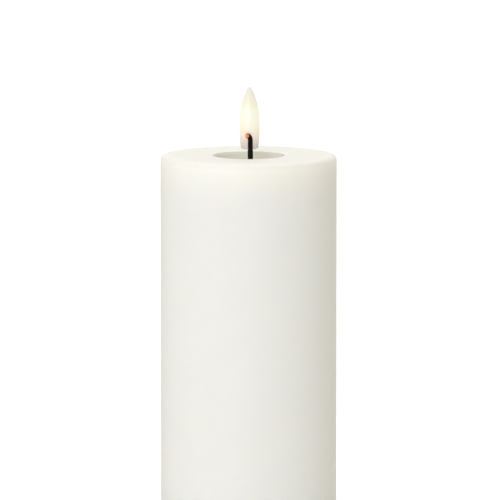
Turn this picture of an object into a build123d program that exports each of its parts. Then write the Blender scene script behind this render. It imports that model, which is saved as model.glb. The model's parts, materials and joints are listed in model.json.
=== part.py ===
"""Flameless LED pillar candle: a real wax shell over a moulded battery insert.

The frame has +Z up and its origin on the table, under the middle of the candle. The wick bends towards -X
and stands on the -Y side of the flame, which is the side that faces the viewer.
All sizes are in millimetres.
"""
from build123d import *
import os
from math import cos, radians, sin, sqrt

# ---------------------------------------------------------------- driving dimensions
# Wax shell
candle_diameter = 75.0
candle_height = 150.0        # from the table to the rim
foot_height = 0.8            # the feet lift the wax this far off the table
wax_wall = 6.5
wax_top = 13.0               # from the rim down to the ceiling of the hollow
rim_round = 1.7
crater_diameter = 30.4
crater_depth = 9.0
crater_floor_diameter = 27.0
crater_floor_round = 4.0
crater_lip_round = 0.3
wax_foot_round = 0.8
ceiling_round = 3.0

# Clearances
glue_gap = 0.25              # between a moulding and the wax round it
seat_gap = 0.1               # between parts that lie face to face on different bodies
slip_gap = 0.15              # between parts that slide or turn on each other
press_gap = 0.05             # between parts that are pressed or soldered together

# Base plate and feet
plate_thickness = 3.0
plate_margin = 3.5           # width of the wax ring that shows round the base plate
plate_chamfer = 0.5
foot_diameter = 9.0
foot_thickness = 1.6
foot_margin = 0.65           # from a foot's recess to the plate's edge
foot_angles = (35.0, 145.0, 230.0, 310.0)
base_screw_angles = (-15.0, 62.0, 118.0, 195.0)
base_screw_inset = 0.15      # from the insert's inner wall in to the screws' circle

# Screws: shank radius, head radius, head height, length under the head
base_screw_radius, base_screw_head_radius, base_screw_head, base_screw_length = 1.2, 2.6, 1.3, 9.0
lock_screw_radius, lock_screw_head_radius, lock_screw_head, lock_screw_length = 1.4, 3.6, 1.6, 11.0
screw_recess_gap = 0.3
pilot_gap = 0.1              # radial room round a shank in its pilot hole
lock_screw_gap = 0.532       # between a cell and the cover's screw boss
retainer_radius, retainer_thickness = 2.5, 0.5
coin_slot_width, coin_slot_depth = 1.3, 0.9
cross_slot_width, cross_slot_length, cross_slot_depth = 0.7, 3.2, 0.8

# Moulded insert
insert_height = 68.0         # from the table to the top of the insert
insert_wall = 1.8
insert_roof = 2.0
screw_post_radius = 3.2
bay_wall = 1.2
bay_floor = 2.0              # the closed upper end of the battery bays
bay_mouth = 6.4              # height of the open lower end of the bays
rib_thickness = 1.6
cable_hole_radius, cable_hole_y = 2.4, -12.0

# AA cells
cell_diameter, cell_length = 14.2, 50.5
cell_button_radius, cell_button_height = 2.75, 1.0
cell_shoulder = 0.5
cell_bay_gap = 0.4
cell_gap = 2.3
compartment_y = 6.0          # middle of the battery compartment

# Battery cover
cover_ledge = 1.3            # the flange stands out this far round the skirt
cover_flange = 1.4
cover_disc = 1.9
cover_skirt_room, cover_skirt_wall, cover_skirt_height = 1.75, 1.6, 3.4
cover_boss_radius, cover_boss_height = 4.8, 2.3
cover_travel = 22.0
grip_rib_width, grip_rib_length, grip_rib_height, grip_rib_pitch = 0.8, 9.0, 0.35, 2.0
key_width, key_depth = 3.0, 1.1

# Contacts
contact_thickness = 0.4
contact_length, contact_width = 9.0, 7.0
tab_width, tab_height = 2.4, 4.6
spring_wire, spring_radius, spring_length, spring_turns = 0.7, 3.3, 5.0, 4
bridge_length, bridge_width = 27.0, 8.4

# Control board and its switch
board_width, board_height, board_thickness = 26.0, 29.0, 1.2
board_low = 7.2
board_inset = 8.15           # from the insert's inner wall in to the face that carries the switch
rail_depth, rail_bite = 1.4, 1.2
chip_width, chip_height, chip_depth = 3.9, 4.9, 1.5
chip_leg_pitch, chip_leg_width, chip_leg_reach = 1.27, 0.42, 1.0
crystal_radius, crystal_length = 1.5, 6.0
capacitor_radius, capacitor_height = 2.5, 6.5
resistor_length, resistor_width, resistor_depth, resistor_pitch = 2.0, 1.25, 0.5, 2.4
switch_length, switch_depth, switch_height, switch_sheet = 10.0, 4.2, 5.0, 0.3
switch_low = 4.6
switch_travel = 4.0          # on, off and timer are 2 mm apart
lever_width, lever_depth, lever_tip_z = 3.6, 2.4, 1.1
slider_length, slider_depth, slider_height = 5.0, 3.0, 1.6
pin_pitch, pin_size, pin_length = 3.0, 0.5, 4.6
pocket_length, pocket_width, pocket_depth, pocket_round = 14.0, 7.4, 1.2, 2.0

# Wick, flame and light
wick_x, flame_x = 0.75, 0.4
flame_y = 1.95               # axis of the flame
wick_set = 3.9               # the wick's axis stands this far in front of the flame's axis
stem_radius, wick_radius, stem_bore = 1.15, 1.0, 0.7
stem_below_bush = 2.9
wick_bend_radius, wick_bend_angle = 1.94, 86.0
wick_bend_heading = 50.0     # the bend leans towards -X, and this far round from it towards -Y
wick_straight = 4.15         # from the flame's foot to the start of the bend
ember_radius, ember_seat, ember_dome = 0.85, 0.7, 0.35
groove_gap = 0.1
flame_lift = 2.35            # the flame's foot above the rim
flame_wall_share, flame_crown_share = 0.78, 0.88
flame_foot_round = 0.9
# Height above the flame's foot and radius, from the foot to the tip
flame_outline = ((4.3, 4.24), (9.2, 4.36), (13.7, 4.24), (18.0, 3.68), (20.5, 3.12), (22.6, 2.42), (24.6, 1.62),
                 (26.0, 0.85))
flame_foot_radius, flame_height = 3.66, 26.8
groove_wall = 0.8
plug_height = 2.6
lead_radius, lead_spread, lead_bend = 0.22, 0.32, 0.5
lead_window_low, lead_window_high, lead_window_half = 0.8, 2.2, 0.65
led_radius, led_flange_radius, led_flange_height, led_height = 1.5, 1.75, 0.8, 5.0
led_set_back = 0.5

# Stem bush under the crater's floor
bush_radius, bush_flange_radius, bush_flange = 3.5, 8.0, 1.6
collar_radius, collar_height = 2.3, 1.4

# Wires
wire_radius = 0.5
wire_spread = 0.95
wire_joint_drop = 5.5        # from the stem's lower end to the wires' joints
sleeve_wall, sleeve_length = 0.3, 5.0
solder_height = 30.0

# ---------------------------------------------------------------- sizes worked out from those above
body_radius = candle_diameter / 2
bore_radius = body_radius - wax_wall
plate_radius = body_radius - plate_margin - glue_gap
plate_low = foot_height
plate_high = plate_low + plate_thickness
insert_radius = bore_radius - glue_gap
insert_inner = insert_radius - insert_wall
ceiling = candle_height - wax_top
crater_floor = candle_height - crater_depth

cell_radius = cell_diameter / 2
bay_radius = cell_radius + cell_bay_gap
bay_outer = bay_radius + bay_wall
cover_low = plate_low + seat_gap
ledge_low = cover_low + cover_flange + seat_gap
cover_inside = cover_low + cover_disc
bridge_top = cover_inside + contact_thickness
cell_b_low = bridge_top + seat_gap                       # this cell stands on its button
cell_a_low = bridge_top + spring_length + seat_gap       # this one stands on the bridge's spring
contact_low = cell_a_low + cell_length
bay_roof = contact_low + contact_thickness
bay_high = bay_roof + bay_floor
cell_x = (cell_diameter + cell_gap) / 2
cover_skirt_outer = cell_x + cell_radius + cover_skirt_room + cover_skirt_wall
cover_radius = cover_skirt_outer + cover_ledge
opening_radius = cover_skirt_outer + slip_gap
lock_screw_offset = sqrt((cell_radius + cover_boss_radius + lock_screw_gap) ** 2 - cell_x ** 2)
lock_screw_y = compartment_y - lock_screw_offset

foot_circle_radius = plate_radius - foot_diameter / 2 - foot_margin
base_screw_circle_radius = insert_inner - base_screw_inset
board_front_y = board_inset - insert_inner
board_back_y = board_front_y + board_thickness
board_high = board_low + board_height
lever_y = board_front_y - switch_depth / 2
lever_x = -switch_travel / 2

stem_y = flame_y - wick_set
flame_foot = candle_height + flame_lift
bend_start = flame_foot + wick_straight
lead_z = flame_foot + (lead_window_low + lead_window_high) / 2
led_y = flame_y + led_set_back
led_low = flame_foot + plug_height
bush_low = ceiling - bush_flange
stem_low = bush_low - stem_below_bush
wire_joint_z = stem_low - wire_joint_drop


# ---------------------------------------------------------------- small helpers
def rod(radius, low, high, x=0.0, y=0.0):
    """An upright cylinder between two heights."""
    return Pos(x, y, (low + high) / 2) * Cylinder(radius, high - low)


def block(x0, x1, y0, y1, z0, z1):
    """A box between two corners."""
    return Pos((x0 + x1) / 2, (y0 + y1) / 2, (z0 + z1) / 2) * Box(x1 - x0, y1 - y0, z1 - z0)


def on_circle(radius, angle):
    """A point on a circle about the candle's axis."""
    return radius * cos(radians(angle)), radius * sin(radians(angle))


def lathe(points, rounds):
    """Turns an outline of (radius, height) points about Z, with the numbered corners rounded."""
    outline = make_face(Polyline(*points, close=True))
    for index, radius in rounds.items():
        corner = outline.vertices().sort_by_distance((points[index][0], points[index][1], 0))[0]
        outline = fillet(corner, radius)
    return revolve(Plane.XZ * outline, Axis.Z)


def tube(points, radius, bends):
    """A round wire along straight runs joined by arcs."""
    path = FilletPolyline(*points, radius=bends)
    section = Plane(origin=path @ 0, z_dir=path % 0) * Circle(radius)
    return sweep(section, path=path)


def coil(radius, wire, length, turns):
    """A compression spring standing on z = 0 with its ends inside its length."""
    path = Helix(pitch=(length - wire) / turns, height=length - wire, radius=radius)
    section = Plane(origin=path @ 0, z_dir=path % 0) * Circle(wire / 2)
    return Pos(0, 0, wire / 2) * sweep(section, path=path, is_frenet=True)


# ---------------------------------------------------------------- wax shell
def wax_shell():
    """Cup of real wax, open below, with a sunken crater round the wick."""
    hole = bush_radius + glue_gap
    seat = plate_radius + glue_gap
    points = [
        (hole, ceiling), (bore_radius, ceiling), (bore_radius, plate_high), (seat, plate_high),
        (seat, plate_low), (body_radius, plate_low), (body_radius, candle_height),
        (crater_diameter / 2, candle_height), (crater_floor_diameter / 2, crater_floor), (hole, crater_floor),
    ]
    return lathe(points, {1: ceiling_round, 5: wax_foot_round, 6: rim_round, 7: crater_lip_round,
                          8: crater_floor_round})


def stem_bush():
    """Flanged bush glued up into the crater's floor; the wick's stem stands in it."""
    flange = rod(bush_flange_radius, bush_low, ceiling)
    sleeve = rod(bush_radius, ceiling, crater_floor)
    bore = rod(stem_radius + press_gap, bush_low, crater_floor, wick_x, stem_y)
    return flange + sleeve - bore


def stem_collar():
    """Ring pressed on the stem under the bush, so that the wick can't be pulled out."""
    return rod(collar_radius, bush_low - collar_height, bush_low, wick_x, stem_y) - rod(
        stem_radius + press_gap, bush_low - collar_height, bush_low, wick_x, stem_y)


# ---------------------------------------------------------------- wick and flame
def wick_line():
    """Centre line of the upper wick: straight up the flame, then bent over to the front and -X."""
    straight = Line((wick_x, stem_y, flame_foot), (wick_x, stem_y, bend_start))
    away_x, away_y = cos(radians(wick_bend_heading)), sin(radians(wick_bend_heading))
    middle = (wick_x - wick_bend_radius * away_x, stem_y - wick_bend_radius * away_y, bend_start)
    plane = Plane(origin=middle, x_dir=(away_x, away_y, 0), z_dir=(away_y, -away_x, 0))
    arc = plane * CenterArc((0, 0), wick_bend_radius, 0, wick_bend_angle)
    return Curve([*straight.edges(), *arc.edges()])


def along_wick(radius):
    """A round bar along the upper wick."""
    line = wick_line()
    straight, arc = line.edges()
    section = Plane(origin=straight @ 0, z_dir=straight % 0) * Circle(radius)
    turned = Plane(origin=arc @ 0, z_dir=arc % 0) * Circle(radius)
    return sweep(section, path=straight) + sweep(turned, path=arc)


def wick_end():
    """Plane across the end of the bend, facing out of the wick."""
    arc = wick_line().edges()[1]
    return Plane(origin=arc @ 1, z_dir=arc % 1)


def wick():
    """Black stem and wick in one: a tube up to the flame, solid beyond it."""
    stem = rod(stem_radius, stem_low, flame_foot, wick_x, stem_y)
    bore = rod(stem_bore, stem_low, flame_foot + lead_window_high, wick_x, stem_y)
    window = block(wick_x - lead_window_half, wick_x + lead_window_half, stem_y, stem_y + stem_radius,
                   flame_foot + lead_window_low, flame_foot + lead_window_high)
    socket = wick_end() * rod(ember_radius + press_gap, -ember_seat, ember_seat)
    return stem + along_wick(wick_radius) - bore - window - socket


def wick_ember():
    """Orange plug in the wick's end, domed where it stands out."""
    crown_radius = (ember_radius ** 2 + ember_dome ** 2) / (2 * ember_dome)
    crown = Pos(0, 0, ember_dome - crown_radius) * Sphere(crown_radius)
    return wick_end() * (rod(ember_radius, -ember_seat, ember_dome) & crown)


def flame_solid(radius_share, height_share):
    """Solid flame on its own axis: flat foot, round shoulder, pointed tip."""
    foot, tip = (0, 0), (0, flame_height * height_share)
    corner = (flame_foot_radius * radius_share, 0)
    side_points = [(radius * radius_share, height * height_share) for height, radius in flame_outline]
    side = Spline(corner, *side_points, tip, tangents=((0.25, 1.0), (-1.0, 0.25)))
    outline = make_face([Line(foot, corner), side, Line(tip, foot)])
    shoulder = outline.vertices().sort_by_distance((corner[0], corner[1], 0))[0]
    outline = fillet(shoulder, flame_foot_round * radius_share)
    return Pos(flame_x, flame_y, flame_foot) * revolve(Plane.XZ * outline, Axis.Z)


def flame_shell():
    """Hollow translucent flame with a groove up its front for the wick."""
    wall_behind_groove = rod(wick_radius + groove_gap + groove_wall, flame_foot - 1, flame_foot + flame_height,
                             wick_x, stem_y)
    hollow = flame_solid(flame_wall_share, flame_crown_share) - wall_behind_groove
    foot_opening = plug_outline(flame_foot - 1, flame_foot + plug_height, 0.0)
    groove = along_wick(wick_radius + groove_gap)
    pocket = wick_end() * rod(wick_radius + groove_gap, 0, flame_foot_radius)
    window = block(wick_x - lead_window_half, wick_x + lead_window_half, stem_y, flame_y,
                   flame_foot + lead_window_low, flame_foot + lead_window_high)
    return flame_solid(1.0, 1.0) - hollow - foot_opening - groove - pocket - window


def plug_outline(low, high, gap):
    """The shape that closes the flame's foot, a full disc cut away behind the wick."""
    disc = rod(flame_foot_radius * flame_wall_share - gap, low, high, flame_x, flame_y)
    return disc - rod(wick_radius + groove_gap + groove_wall + gap, low, high, wick_x, stem_y)


def flame_plug():
    """Plug in the flame's foot that carries the light, with a channel for its leads."""
    plug = plug_outline(flame_foot, flame_foot + plug_height, press_gap)
    channel = block(wick_x - lead_window_half, wick_x + lead_window_half, stem_y, led_y + lead_window_half,
                    flame_foot + lead_window_low, flame_foot + plug_height)
    return plug - channel


def flame_led():
    """Round 3 mm light with a flange and a domed lens."""
    flange = rod(led_flange_radius, led_low, led_low + led_flange_height, wick_x, led_y)
    barrel = rod(led_radius, led_low, led_low + led_height - led_radius, wick_x, led_y)
    dome = Pos(wick_x, led_y, led_low + led_height - led_radius) * Sphere(led_radius)
    return flange + barrel + dome


def led_leads():
    """Two thin leads from the light, through the wick's window and down its bore."""
    splay_z = stem_low - 2
    leads = []
    for side in (-1, 1):
        near, far = wick_x + side * lead_spread, wick_x + side * wire_spread
        points = [(near, led_y, led_low), (near, led_y, lead_z), (near, stem_y, lead_z), (near, stem_y, splay_z),
                  (far, stem_y, splay_z - 1.5), (far, stem_y, wire_joint_z)]
        leads.append(tube(points, lead_radius, lead_bend))
    return Compound(children=leads)


# ---------------------------------------------------------------- base plate, feet and screws
def base_plate():
    """Round plate let into the wax's foot, with the battery opening and the switch's window."""
    plate = rod(plate_radius, plate_low, plate_high)
    plate = chamfer(plate.edges().filter_by(GeomType.CIRCLE).group_by(Axis.Z)[0], plate_chamfer)
    plate -= rod(opening_radius, plate_low, plate_high, 0, compartment_y)
    plate -= rod(cover_radius + slip_gap, plate_low, ledge_low, 0, compartment_y)
    notch_reach = cover_skirt_outer + key_depth + slip_gap
    notch_half = key_width / 2 + slip_gap
    plate -= block(-notch_reach, notch_reach, compartment_y - notch_half, compartment_y + notch_half,
                   ledge_low, plate_high)
    pocket = Pos(0, lever_y, plate_low) * extrude(RectangleRounded(pocket_length, pocket_width, pocket_round),
                                                  pocket_depth)
    slot_half = (switch_travel + lever_width) / 2 + slip_gap
    slot = block(-slot_half, slot_half, lever_y - lever_depth / 2 - slip_gap, lever_y + lever_depth / 2 + slip_gap,
                 plate_low, plate_high)
    plate -= pocket + slot
    for angle in foot_angles:
        x, y = on_circle(foot_circle_radius, angle)
        plate -= rod(foot_diameter / 2 + press_gap, plate_low, foot_thickness, x, y)
    for angle in base_screw_angles:
        x, y = on_circle(base_screw_circle_radius, angle)
        head_top = plate_low + seat_gap + base_screw_head
        plate -= rod(base_screw_head_radius + screw_recess_gap, plate_low, head_top, x, y)
        plate -= rod(base_screw_radius + pilot_gap, plate_low, plate_high, x, y)
    return plate


def rubber_feet():
    """Four self-adhesive pads that the candle stands on."""
    pads = []
    for angle in foot_angles:
        x, y = on_circle(foot_circle_radius, angle)
        pads.append(rod(foot_diameter / 2, 0, foot_thickness, x, y))
    return Compound(children=pads)


def base_screws():
    """Cross-head screws that hold the base plate to the insert."""
    screws = []
    for angle in base_screw_angles:
        x, y = on_circle(base_screw_circle_radius, angle)
        low = plate_low + seat_gap
        high = low + base_screw_head
        head = Pos(x, y, (low + high) / 2) * Cylinder(base_screw_head_radius, base_screw_head)
        head = fillet(head.edges().filter_by(GeomType.CIRCLE).group_by(Axis.Z)[0], 0.5)
        shank = rod(base_screw_radius, high, high + base_screw_length, x, y)
        half, reach = cross_slot_width / 2, cross_slot_length / 2
        cross = block(x - half, x + half, y - reach, y + reach, low, low + cross_slot_depth)
        cross += block(x - reach, x + reach, y - half, y + half, low, low + cross_slot_depth)
        screws.append(head + shank - cross)
    return Compound(children=screws)


# ---------------------------------------------------------------- moulded insert
def bay_block():
    """Two battery bays side by side, closed at the top."""
    shape = Part()
    for x in (-cell_x, cell_x):
        shape += rod(bay_outer, bay_mouth, bay_high, x, compartment_y)
    shape += rod(lock_screw_radius + pilot_gap + 1.4, bay_mouth, bay_mouth + lock_screw_length + 2, 0, lock_screw_y)
    shape += block(-cell_x, cell_x, lock_screw_y, compartment_y, bay_mouth, bay_mouth + lock_screw_length + 2)
    for x in (-cell_x, cell_x):
        shape -= rod(bay_radius, bay_mouth, bay_roof, x, compartment_y)
        slot_y = compartment_y - contact_width / 2
        shape -= block(x - tab_width / 2 - press_gap, x + tab_width / 2 + press_gap, slot_y - press_gap,
                       slot_y + contact_thickness + press_gap, bay_roof, bay_high)
    shape -= rod(lock_screw_radius + pilot_gap, bay_mouth, bay_mouth + lock_screw_length, 0, lock_screw_y)
    return shape


def insert_ribs():
    """Upright ribs that tie the bays to the insert's wall."""
    half = rib_thickness / 2
    inner = cell_x + bay_outer - 0.6
    ribs = block(inner, insert_inner + 0.5, compartment_y - half, compartment_y + half, 12, insert_height - 1)
    ribs += block(-insert_inner - 0.5, -inner, compartment_y - half, compartment_y + half, 12, insert_height - 1)
    back = compartment_y + bay_outer - 1.0
    ribs += block(cell_x - half, cell_x + half, back, insert_inner, 12, insert_height - 1)
    ribs += block(-cell_x - half, -cell_x + half, back, insert_inner, 12, insert_height - 1)
    return ribs & rod(insert_inner + 0.5, 0, insert_height)


def board_rails():
    """Two grooved rails that the control board slides up into."""
    inner = board_width / 2 - rail_bite
    low, high = board_low + 1, board_high + 1.5
    rails = Part()
    for side in (-1, 1):
        x0, x1 = sorted((side * inner, side * insert_inner))
        rails += block(x0, x1, board_front_y - rail_depth, board_back_y + rail_depth, low, high)
    groove = block(-board_width / 2 - slip_gap, board_width / 2 + slip_gap, board_front_y - press_gap,
                   board_back_y + press_gap, low, board_high + press_gap)
    return (rails & rod(insert_inner + 0.5, 0, insert_height)) - groove


def core_insert():
    """Moulded cup pushed up into the wax: it holds the cells and the control board."""
    cup = rod(insert_radius, plate_high, insert_height)
    cup = chamfer(cup.edges().filter_by(GeomType.CIRCLE).group_by(Axis.Z)[-1], 1.2)
    cup -= rod(insert_inner, plate_high, insert_height - insert_roof)
    cup += bay_block() + insert_ribs() + board_rails()
    for angle in base_screw_angles:
        x, y = on_circle(base_screw_circle_radius, angle)
        post = rod(screw_post_radius, plate_high, plate_high + base_screw_length + 3, x, y)
        cup += post & rod(insert_inner + 0.5, 0, insert_height)
    for angle in base_screw_angles:
        x, y = on_circle(base_screw_circle_radius, angle)
        cup -= rod(base_screw_radius + pilot_gap, plate_high, plate_high + base_screw_length, x, y)
    cup -= rod(cable_hole_radius, insert_height - insert_roof, insert_height, 0, cable_hole_y)
    return cup


# ---------------------------------------------------------------- battery cover
def battery_cover():
    """Round cover with a locating skirt, two keys, a screw boss and grip ribs."""
    disc = rod(cover_radius, cover_low, cover_low + cover_flange)
    disc = fillet(disc.edges().filter_by(GeomType.CIRCLE).group_by(Axis.Z)[0], 0.4)
    skirt_high = cover_inside + cover_skirt_height
    cover = disc + rod(cover_skirt_outer, cover_low + cover_flange, skirt_high)
    cover -= rod(cover_skirt_outer - cover_skirt_wall, cover_inside, skirt_high)
    reach = cover_skirt_outer + key_depth
    for side in (-1, 1):
        x0, x1 = sorted((side * (cover_skirt_outer - cover_skirt_wall / 2), side * reach))
        cover += block(x0, x1, -key_width / 2, key_width / 2, ledge_low + seat_gap, skirt_high)
    cover += rod(cover_boss_radius, cover_inside, cover_inside + cover_boss_height, 0, -lock_screw_offset)
    head_seat = cover_low + seat_gap + lock_screw_head
    cover -= rod(lock_screw_head_radius + screw_recess_gap, cover_low, head_seat, 0, -lock_screw_offset)
    cover -= rod(lock_screw_radius + slip_gap, cover_low, skirt_high, 0, -lock_screw_offset)
    for row in range(5):
        y = 4.0 + row * grip_rib_pitch
        half = grip_rib_length / 2
        cover -= block(-half, half, y - grip_rib_width / 2, y + grip_rib_width / 2, cover_low,
                       cover_low + grip_rib_height)
    return Pos(0, compartment_y, 0) * cover


def cover_screw():
    """Captive screw with a coin slot that locks the battery cover."""
    low = cover_low + seat_gap
    high = low + lock_screw_head - seat_gap
    head = rod(lock_screw_head_radius, low, high)
    head = fillet(head.edges().filter_by(GeomType.CIRCLE).group_by(Axis.Z)[0], 0.4)
    screw = head + rod(lock_screw_radius, high, high + lock_screw_length)
    reach = lock_screw_head_radius + 1
    screw -= block(-reach, reach, -coin_slot_width / 2, coin_slot_width / 2, low, low + coin_slot_depth)
    return Pos(0, lock_screw_y, 0) * screw


def screw_retainer():
    """Split ring on the screw's shank that keeps it in the cover."""
    low = cover_inside + cover_boss_height + slip_gap
    ring = rod(retainer_radius, low, low + retainer_thickness) - rod(
        lock_screw_radius + press_gap, low, low + retainer_thickness)
    gap = block(0, retainer_radius + 1, -0.5, 0.5, low, low + retainer_thickness)
    return Pos(0, lock_screw_y, 0) * (ring - gap)


# ---------------------------------------------------------------- cells and contacts
def battery_cell():
    """An AA cell standing on z = 0 with its button up."""
    can_high = cell_length - cell_button_height
    points = [
        (0, 0), (cell_radius - cell_shoulder, 0), (cell_radius - cell_shoulder, 0.4), (cell_radius, 0.7),
        (cell_radius, can_high - 0.7), (cell_radius - cell_shoulder, can_high - 0.4),
        (cell_radius - cell_shoulder, can_high), (cell_button_radius, can_high), (cell_button_radius, cell_length),
        (0, cell_length),
    ]
    return lathe(points, {8: 0.4})


def battery_a():
    """Cell that stands on the bridge's spring, button up."""
    return Pos(-cell_x, compartment_y, cell_a_low) * battery_cell()


def battery_b():
    """Cell that stands on its button, under the upper spring."""
    return Pos(cell_x, compartment_y, cell_b_low + cell_length) * Rot(180, 0, 0) * battery_cell()


def contact_plate(x):
    """Flat contact under the bays' closed end, with a solder tab through its slot."""
    half_length, half_width = contact_length / 2, contact_width / 2
    plate = block(-half_length, half_length, -half_width, half_width, contact_low, bay_roof)
    tab = block(-tab_width / 2, tab_width / 2, -half_width, -half_width + contact_thickness, contact_low,
                contact_low + tab_height)
    return Pos(x, compartment_y, 0) * (plate + tab)


def positive_contact():
    """Contact that the first cell's button presses on."""
    return contact_plate(-cell_x)


def negative_contact():
    """Contact plate that carries the upper spring."""
    return contact_plate(cell_x)


def negative_spring():
    """Coil that presses the second cell down on its button."""
    low = cell_b_low + cell_length
    return Pos(cell_x, compartment_y, low) * coil(spring_radius, spring_wire, contact_low - low, spring_turns)


def bridge_plate():
    """Strip on the battery cover that joins the two cells."""
    half_length, half_width = bridge_length / 2, bridge_width / 2
    return block(-half_length, half_length, compartment_y - half_width, compartment_y + half_width, cover_inside,
                 bridge_top)


def bridge_spring():
    """Coil on the bridge plate under the first cell."""
    return Pos(-cell_x, compartment_y, bridge_top) * coil(spring_radius, spring_wire, spring_length, spring_turns)


# ---------------------------------------------------------------- control board and switch
def control_board():
    """Small upright circuit board in the insert's rails."""
    board = block(-board_width / 2, board_width / 2, board_front_y, board_back_y, board_low, board_high)
    hole = pin_size / 2 + press_gap
    z = switch_low + switch_height - 1.0
    for step in (-1, 0, 1):
        x = step * pin_pitch
        board -= block(x - hole, x + hole, board_front_y, board_back_y, z - hole, z + hole)
    return board


def driver_chip():
    """Eight-legged controller that makes the flicker and keeps the timer."""
    x, z = 0.0, board_low + 15.0
    low_y, high_y = board_front_y - chip_depth, board_front_y - 0.1
    chip = block(x - chip_width / 2, x + chip_width / 2, low_y, high_y, z - chip_height / 2, z + chip_height / 2)
    for side in (-1, 1):
        x0, x1 = sorted((x + side * (chip_width / 2 - 0.2), x + side * (chip_width / 2 + chip_leg_reach)))
        for row in range(4):
            leg_z = z + (row - 1.5) * chip_leg_pitch
            chip += block(x0, x1, board_front_y - 0.6, board_front_y, leg_z - chip_leg_width / 2,
                          leg_z + chip_leg_width / 2)
    return chip


def timer_crystal():
    """Small metal can that clocks the timer, lying on the board."""
    x, z = -8.0, board_low + 12.0
    return rod(crystal_radius, z, z + crystal_length, x, board_front_y - crystal_radius)


def board_capacitor():
    """Round capacitor lying on the board's front."""
    x, z = 8.0, board_low + 14.0
    can = Pos(x, board_front_y - capacitor_radius, z) * Cylinder(capacitor_radius, capacitor_height)
    return fillet(can.edges().filter_by(GeomType.CIRCLE), 0.4)


def board_resistors():
    """Row of four chip resistors above the controller."""
    z = board_low + 23.5
    row = []
    for step in range(4):
        x = (step - 1.5) * resistor_pitch
        row.append(block(x - resistor_width / 2, x + resistor_width / 2, board_front_y - resistor_depth,
                         board_front_y, z - resistor_length / 2, z + resistor_length / 2))
    return Compound(children=row)


def switch_can():
    """Folded steel case of the slide switch, slotted below for the lever."""
    x = switch_length / 2
    y0, y1 = board_front_y - switch_depth, board_front_y - switch_sheet
    z1 = switch_low + switch_height
    can = block(-x, x, y0, y1, switch_low, z1)
    can -= block(-x + switch_sheet, x - switch_sheet, y0 + switch_sheet, y1, switch_low + switch_sheet,
                 z1 - switch_sheet)
    slot_half = (switch_travel + lever_width) / 2 + slip_gap
    can -= block(-slot_half, slot_half, lever_y - lever_depth / 2 - slip_gap, lever_y + lever_depth / 2 + slip_gap,
                 switch_low, switch_low + switch_sheet)
    return can


def switch_back():
    """Insulating back of the slide switch, against the board."""
    x = switch_length / 2
    back = block(-x, x, board_front_y - switch_sheet, board_front_y, switch_low + 0.6, switch_low + switch_height)
    hole = pin_size / 2 + press_gap
    z = switch_low + switch_height - 1.0
    for step in (-1, 0, 1):
        back -= block(step * pin_pitch - hole, step * pin_pitch + hole, board_front_y - switch_sheet,
                      board_front_y, z - hole, z + hole)
    return back


def switch_pins():
    """Three pins that join the switch to the board."""
    z = switch_low + switch_height - 1.0
    y0 = board_front_y - 2.0
    pins = []
    for step in (-1, 0, 1):
        x = step * pin_pitch
        pins.append(block(x - pin_size / 2, x + pin_size / 2, y0, y0 + pin_length, z - pin_size / 2,
                          z + pin_size / 2))
    return Compound(children=pins)


def switch_lever():
    """Sliding lever: a ribbed finger piece below, a slider inside the switch."""
    slider_low = switch_low + switch_sheet + slip_gap
    neck = block(-lever_width / 2, lever_width / 2, -lever_depth / 2, lever_depth / 2, lever_tip_z, slider_low)
    slider_front = -switch_depth / 2 + switch_sheet + slip_gap
    slider = block(-slider_length / 2, slider_length / 2, slider_front, slider_front + slider_depth, slider_low,
                   slider_low + slider_height)
    lever = neck + slider
    for step in (-1, 0, 1):
        x = step * 1.1
        lever -= block(x - 0.25, x + 0.25, -lever_depth, lever_depth, lever_tip_z, lever_tip_z + 0.35)
    return Pos(lever_x, lever_y, 0) * lever


def switch_wiper():
    """Springy contact strip on top of the slider."""
    low = switch_low + switch_sheet + slip_gap + slider_height
    return Pos(lever_x, lever_y, 0) * block(-2.2, 2.2, -0.9, 0.9, low, low + 0.25)


# ---------------------------------------------------------------- wires
def led_wire(side):
    """One lead of the light's cable, from the joint under the stem down to the board."""
    top_x = wick_x + side * wire_spread
    hole_x = side * wire_spread
    pad_x = -9.0 + side * 1.6
    wire_y = board_back_y + wire_radius + press_gap
    room = wire_joint_z - insert_height
    points = [
        (top_x, stem_y, wire_joint_z), (top_x, stem_y, wire_joint_z - 0.22 * room),
        (top_x + 5, -9, wire_joint_z - 0.525 * room), (hole_x, cable_hole_y, insert_height + 0.2 * room),
        (hole_x, cable_hole_y, insert_height - 10), (pad_x, wire_y, solder_height + 12),
        (pad_x, wire_y, solder_height),
    ]
    return tube(points, wire_radius, min(6.0, 0.1 * room))


def led_wire_red():
    """Supply wire of the light."""
    return led_wire(1)


def led_wire_black():
    """Return wire of the light."""
    return led_wire(-1)


def heat_shrink_sleeves():
    """Sleeves over the joints between the light's leads and its wires."""
    sleeves = []
    for side in (-1, 1):
        x = wick_x + side * wire_spread
        low = wire_joint_z - sleeve_length / 2
        inner = wire_radius + press_gap
        sleeves.append(rod(inner + sleeve_wall, low, low + sleeve_length, x, stem_y) - rod(
            inner, low, low + sleeve_length, x, stem_y))
    return Compound(children=sleeves)


def battery_wire(x, pad_x):
    """Wire from a contact's solder tab over the bays and down to the board."""
    tab_y = compartment_y - contact_width / 2 - wire_radius - press_gap
    z = bay_high + wire_radius + 1.0
    wire_y = board_back_y + wire_radius + press_gap
    points = [(x, tab_y, z), (x, -9.0, z), (pad_x, -13.0, 48), (pad_x, wire_y, 40), (pad_x, wire_y, solder_height)]
    return tube(points, wire_radius, 3.0)


def battery_wire_red():
    """Wire from the positive contact."""
    return battery_wire(-cell_x, -4.0)


def battery_wire_black():
    """Wire from the negative contact."""
    return battery_wire(cell_x, 8.0)


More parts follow.
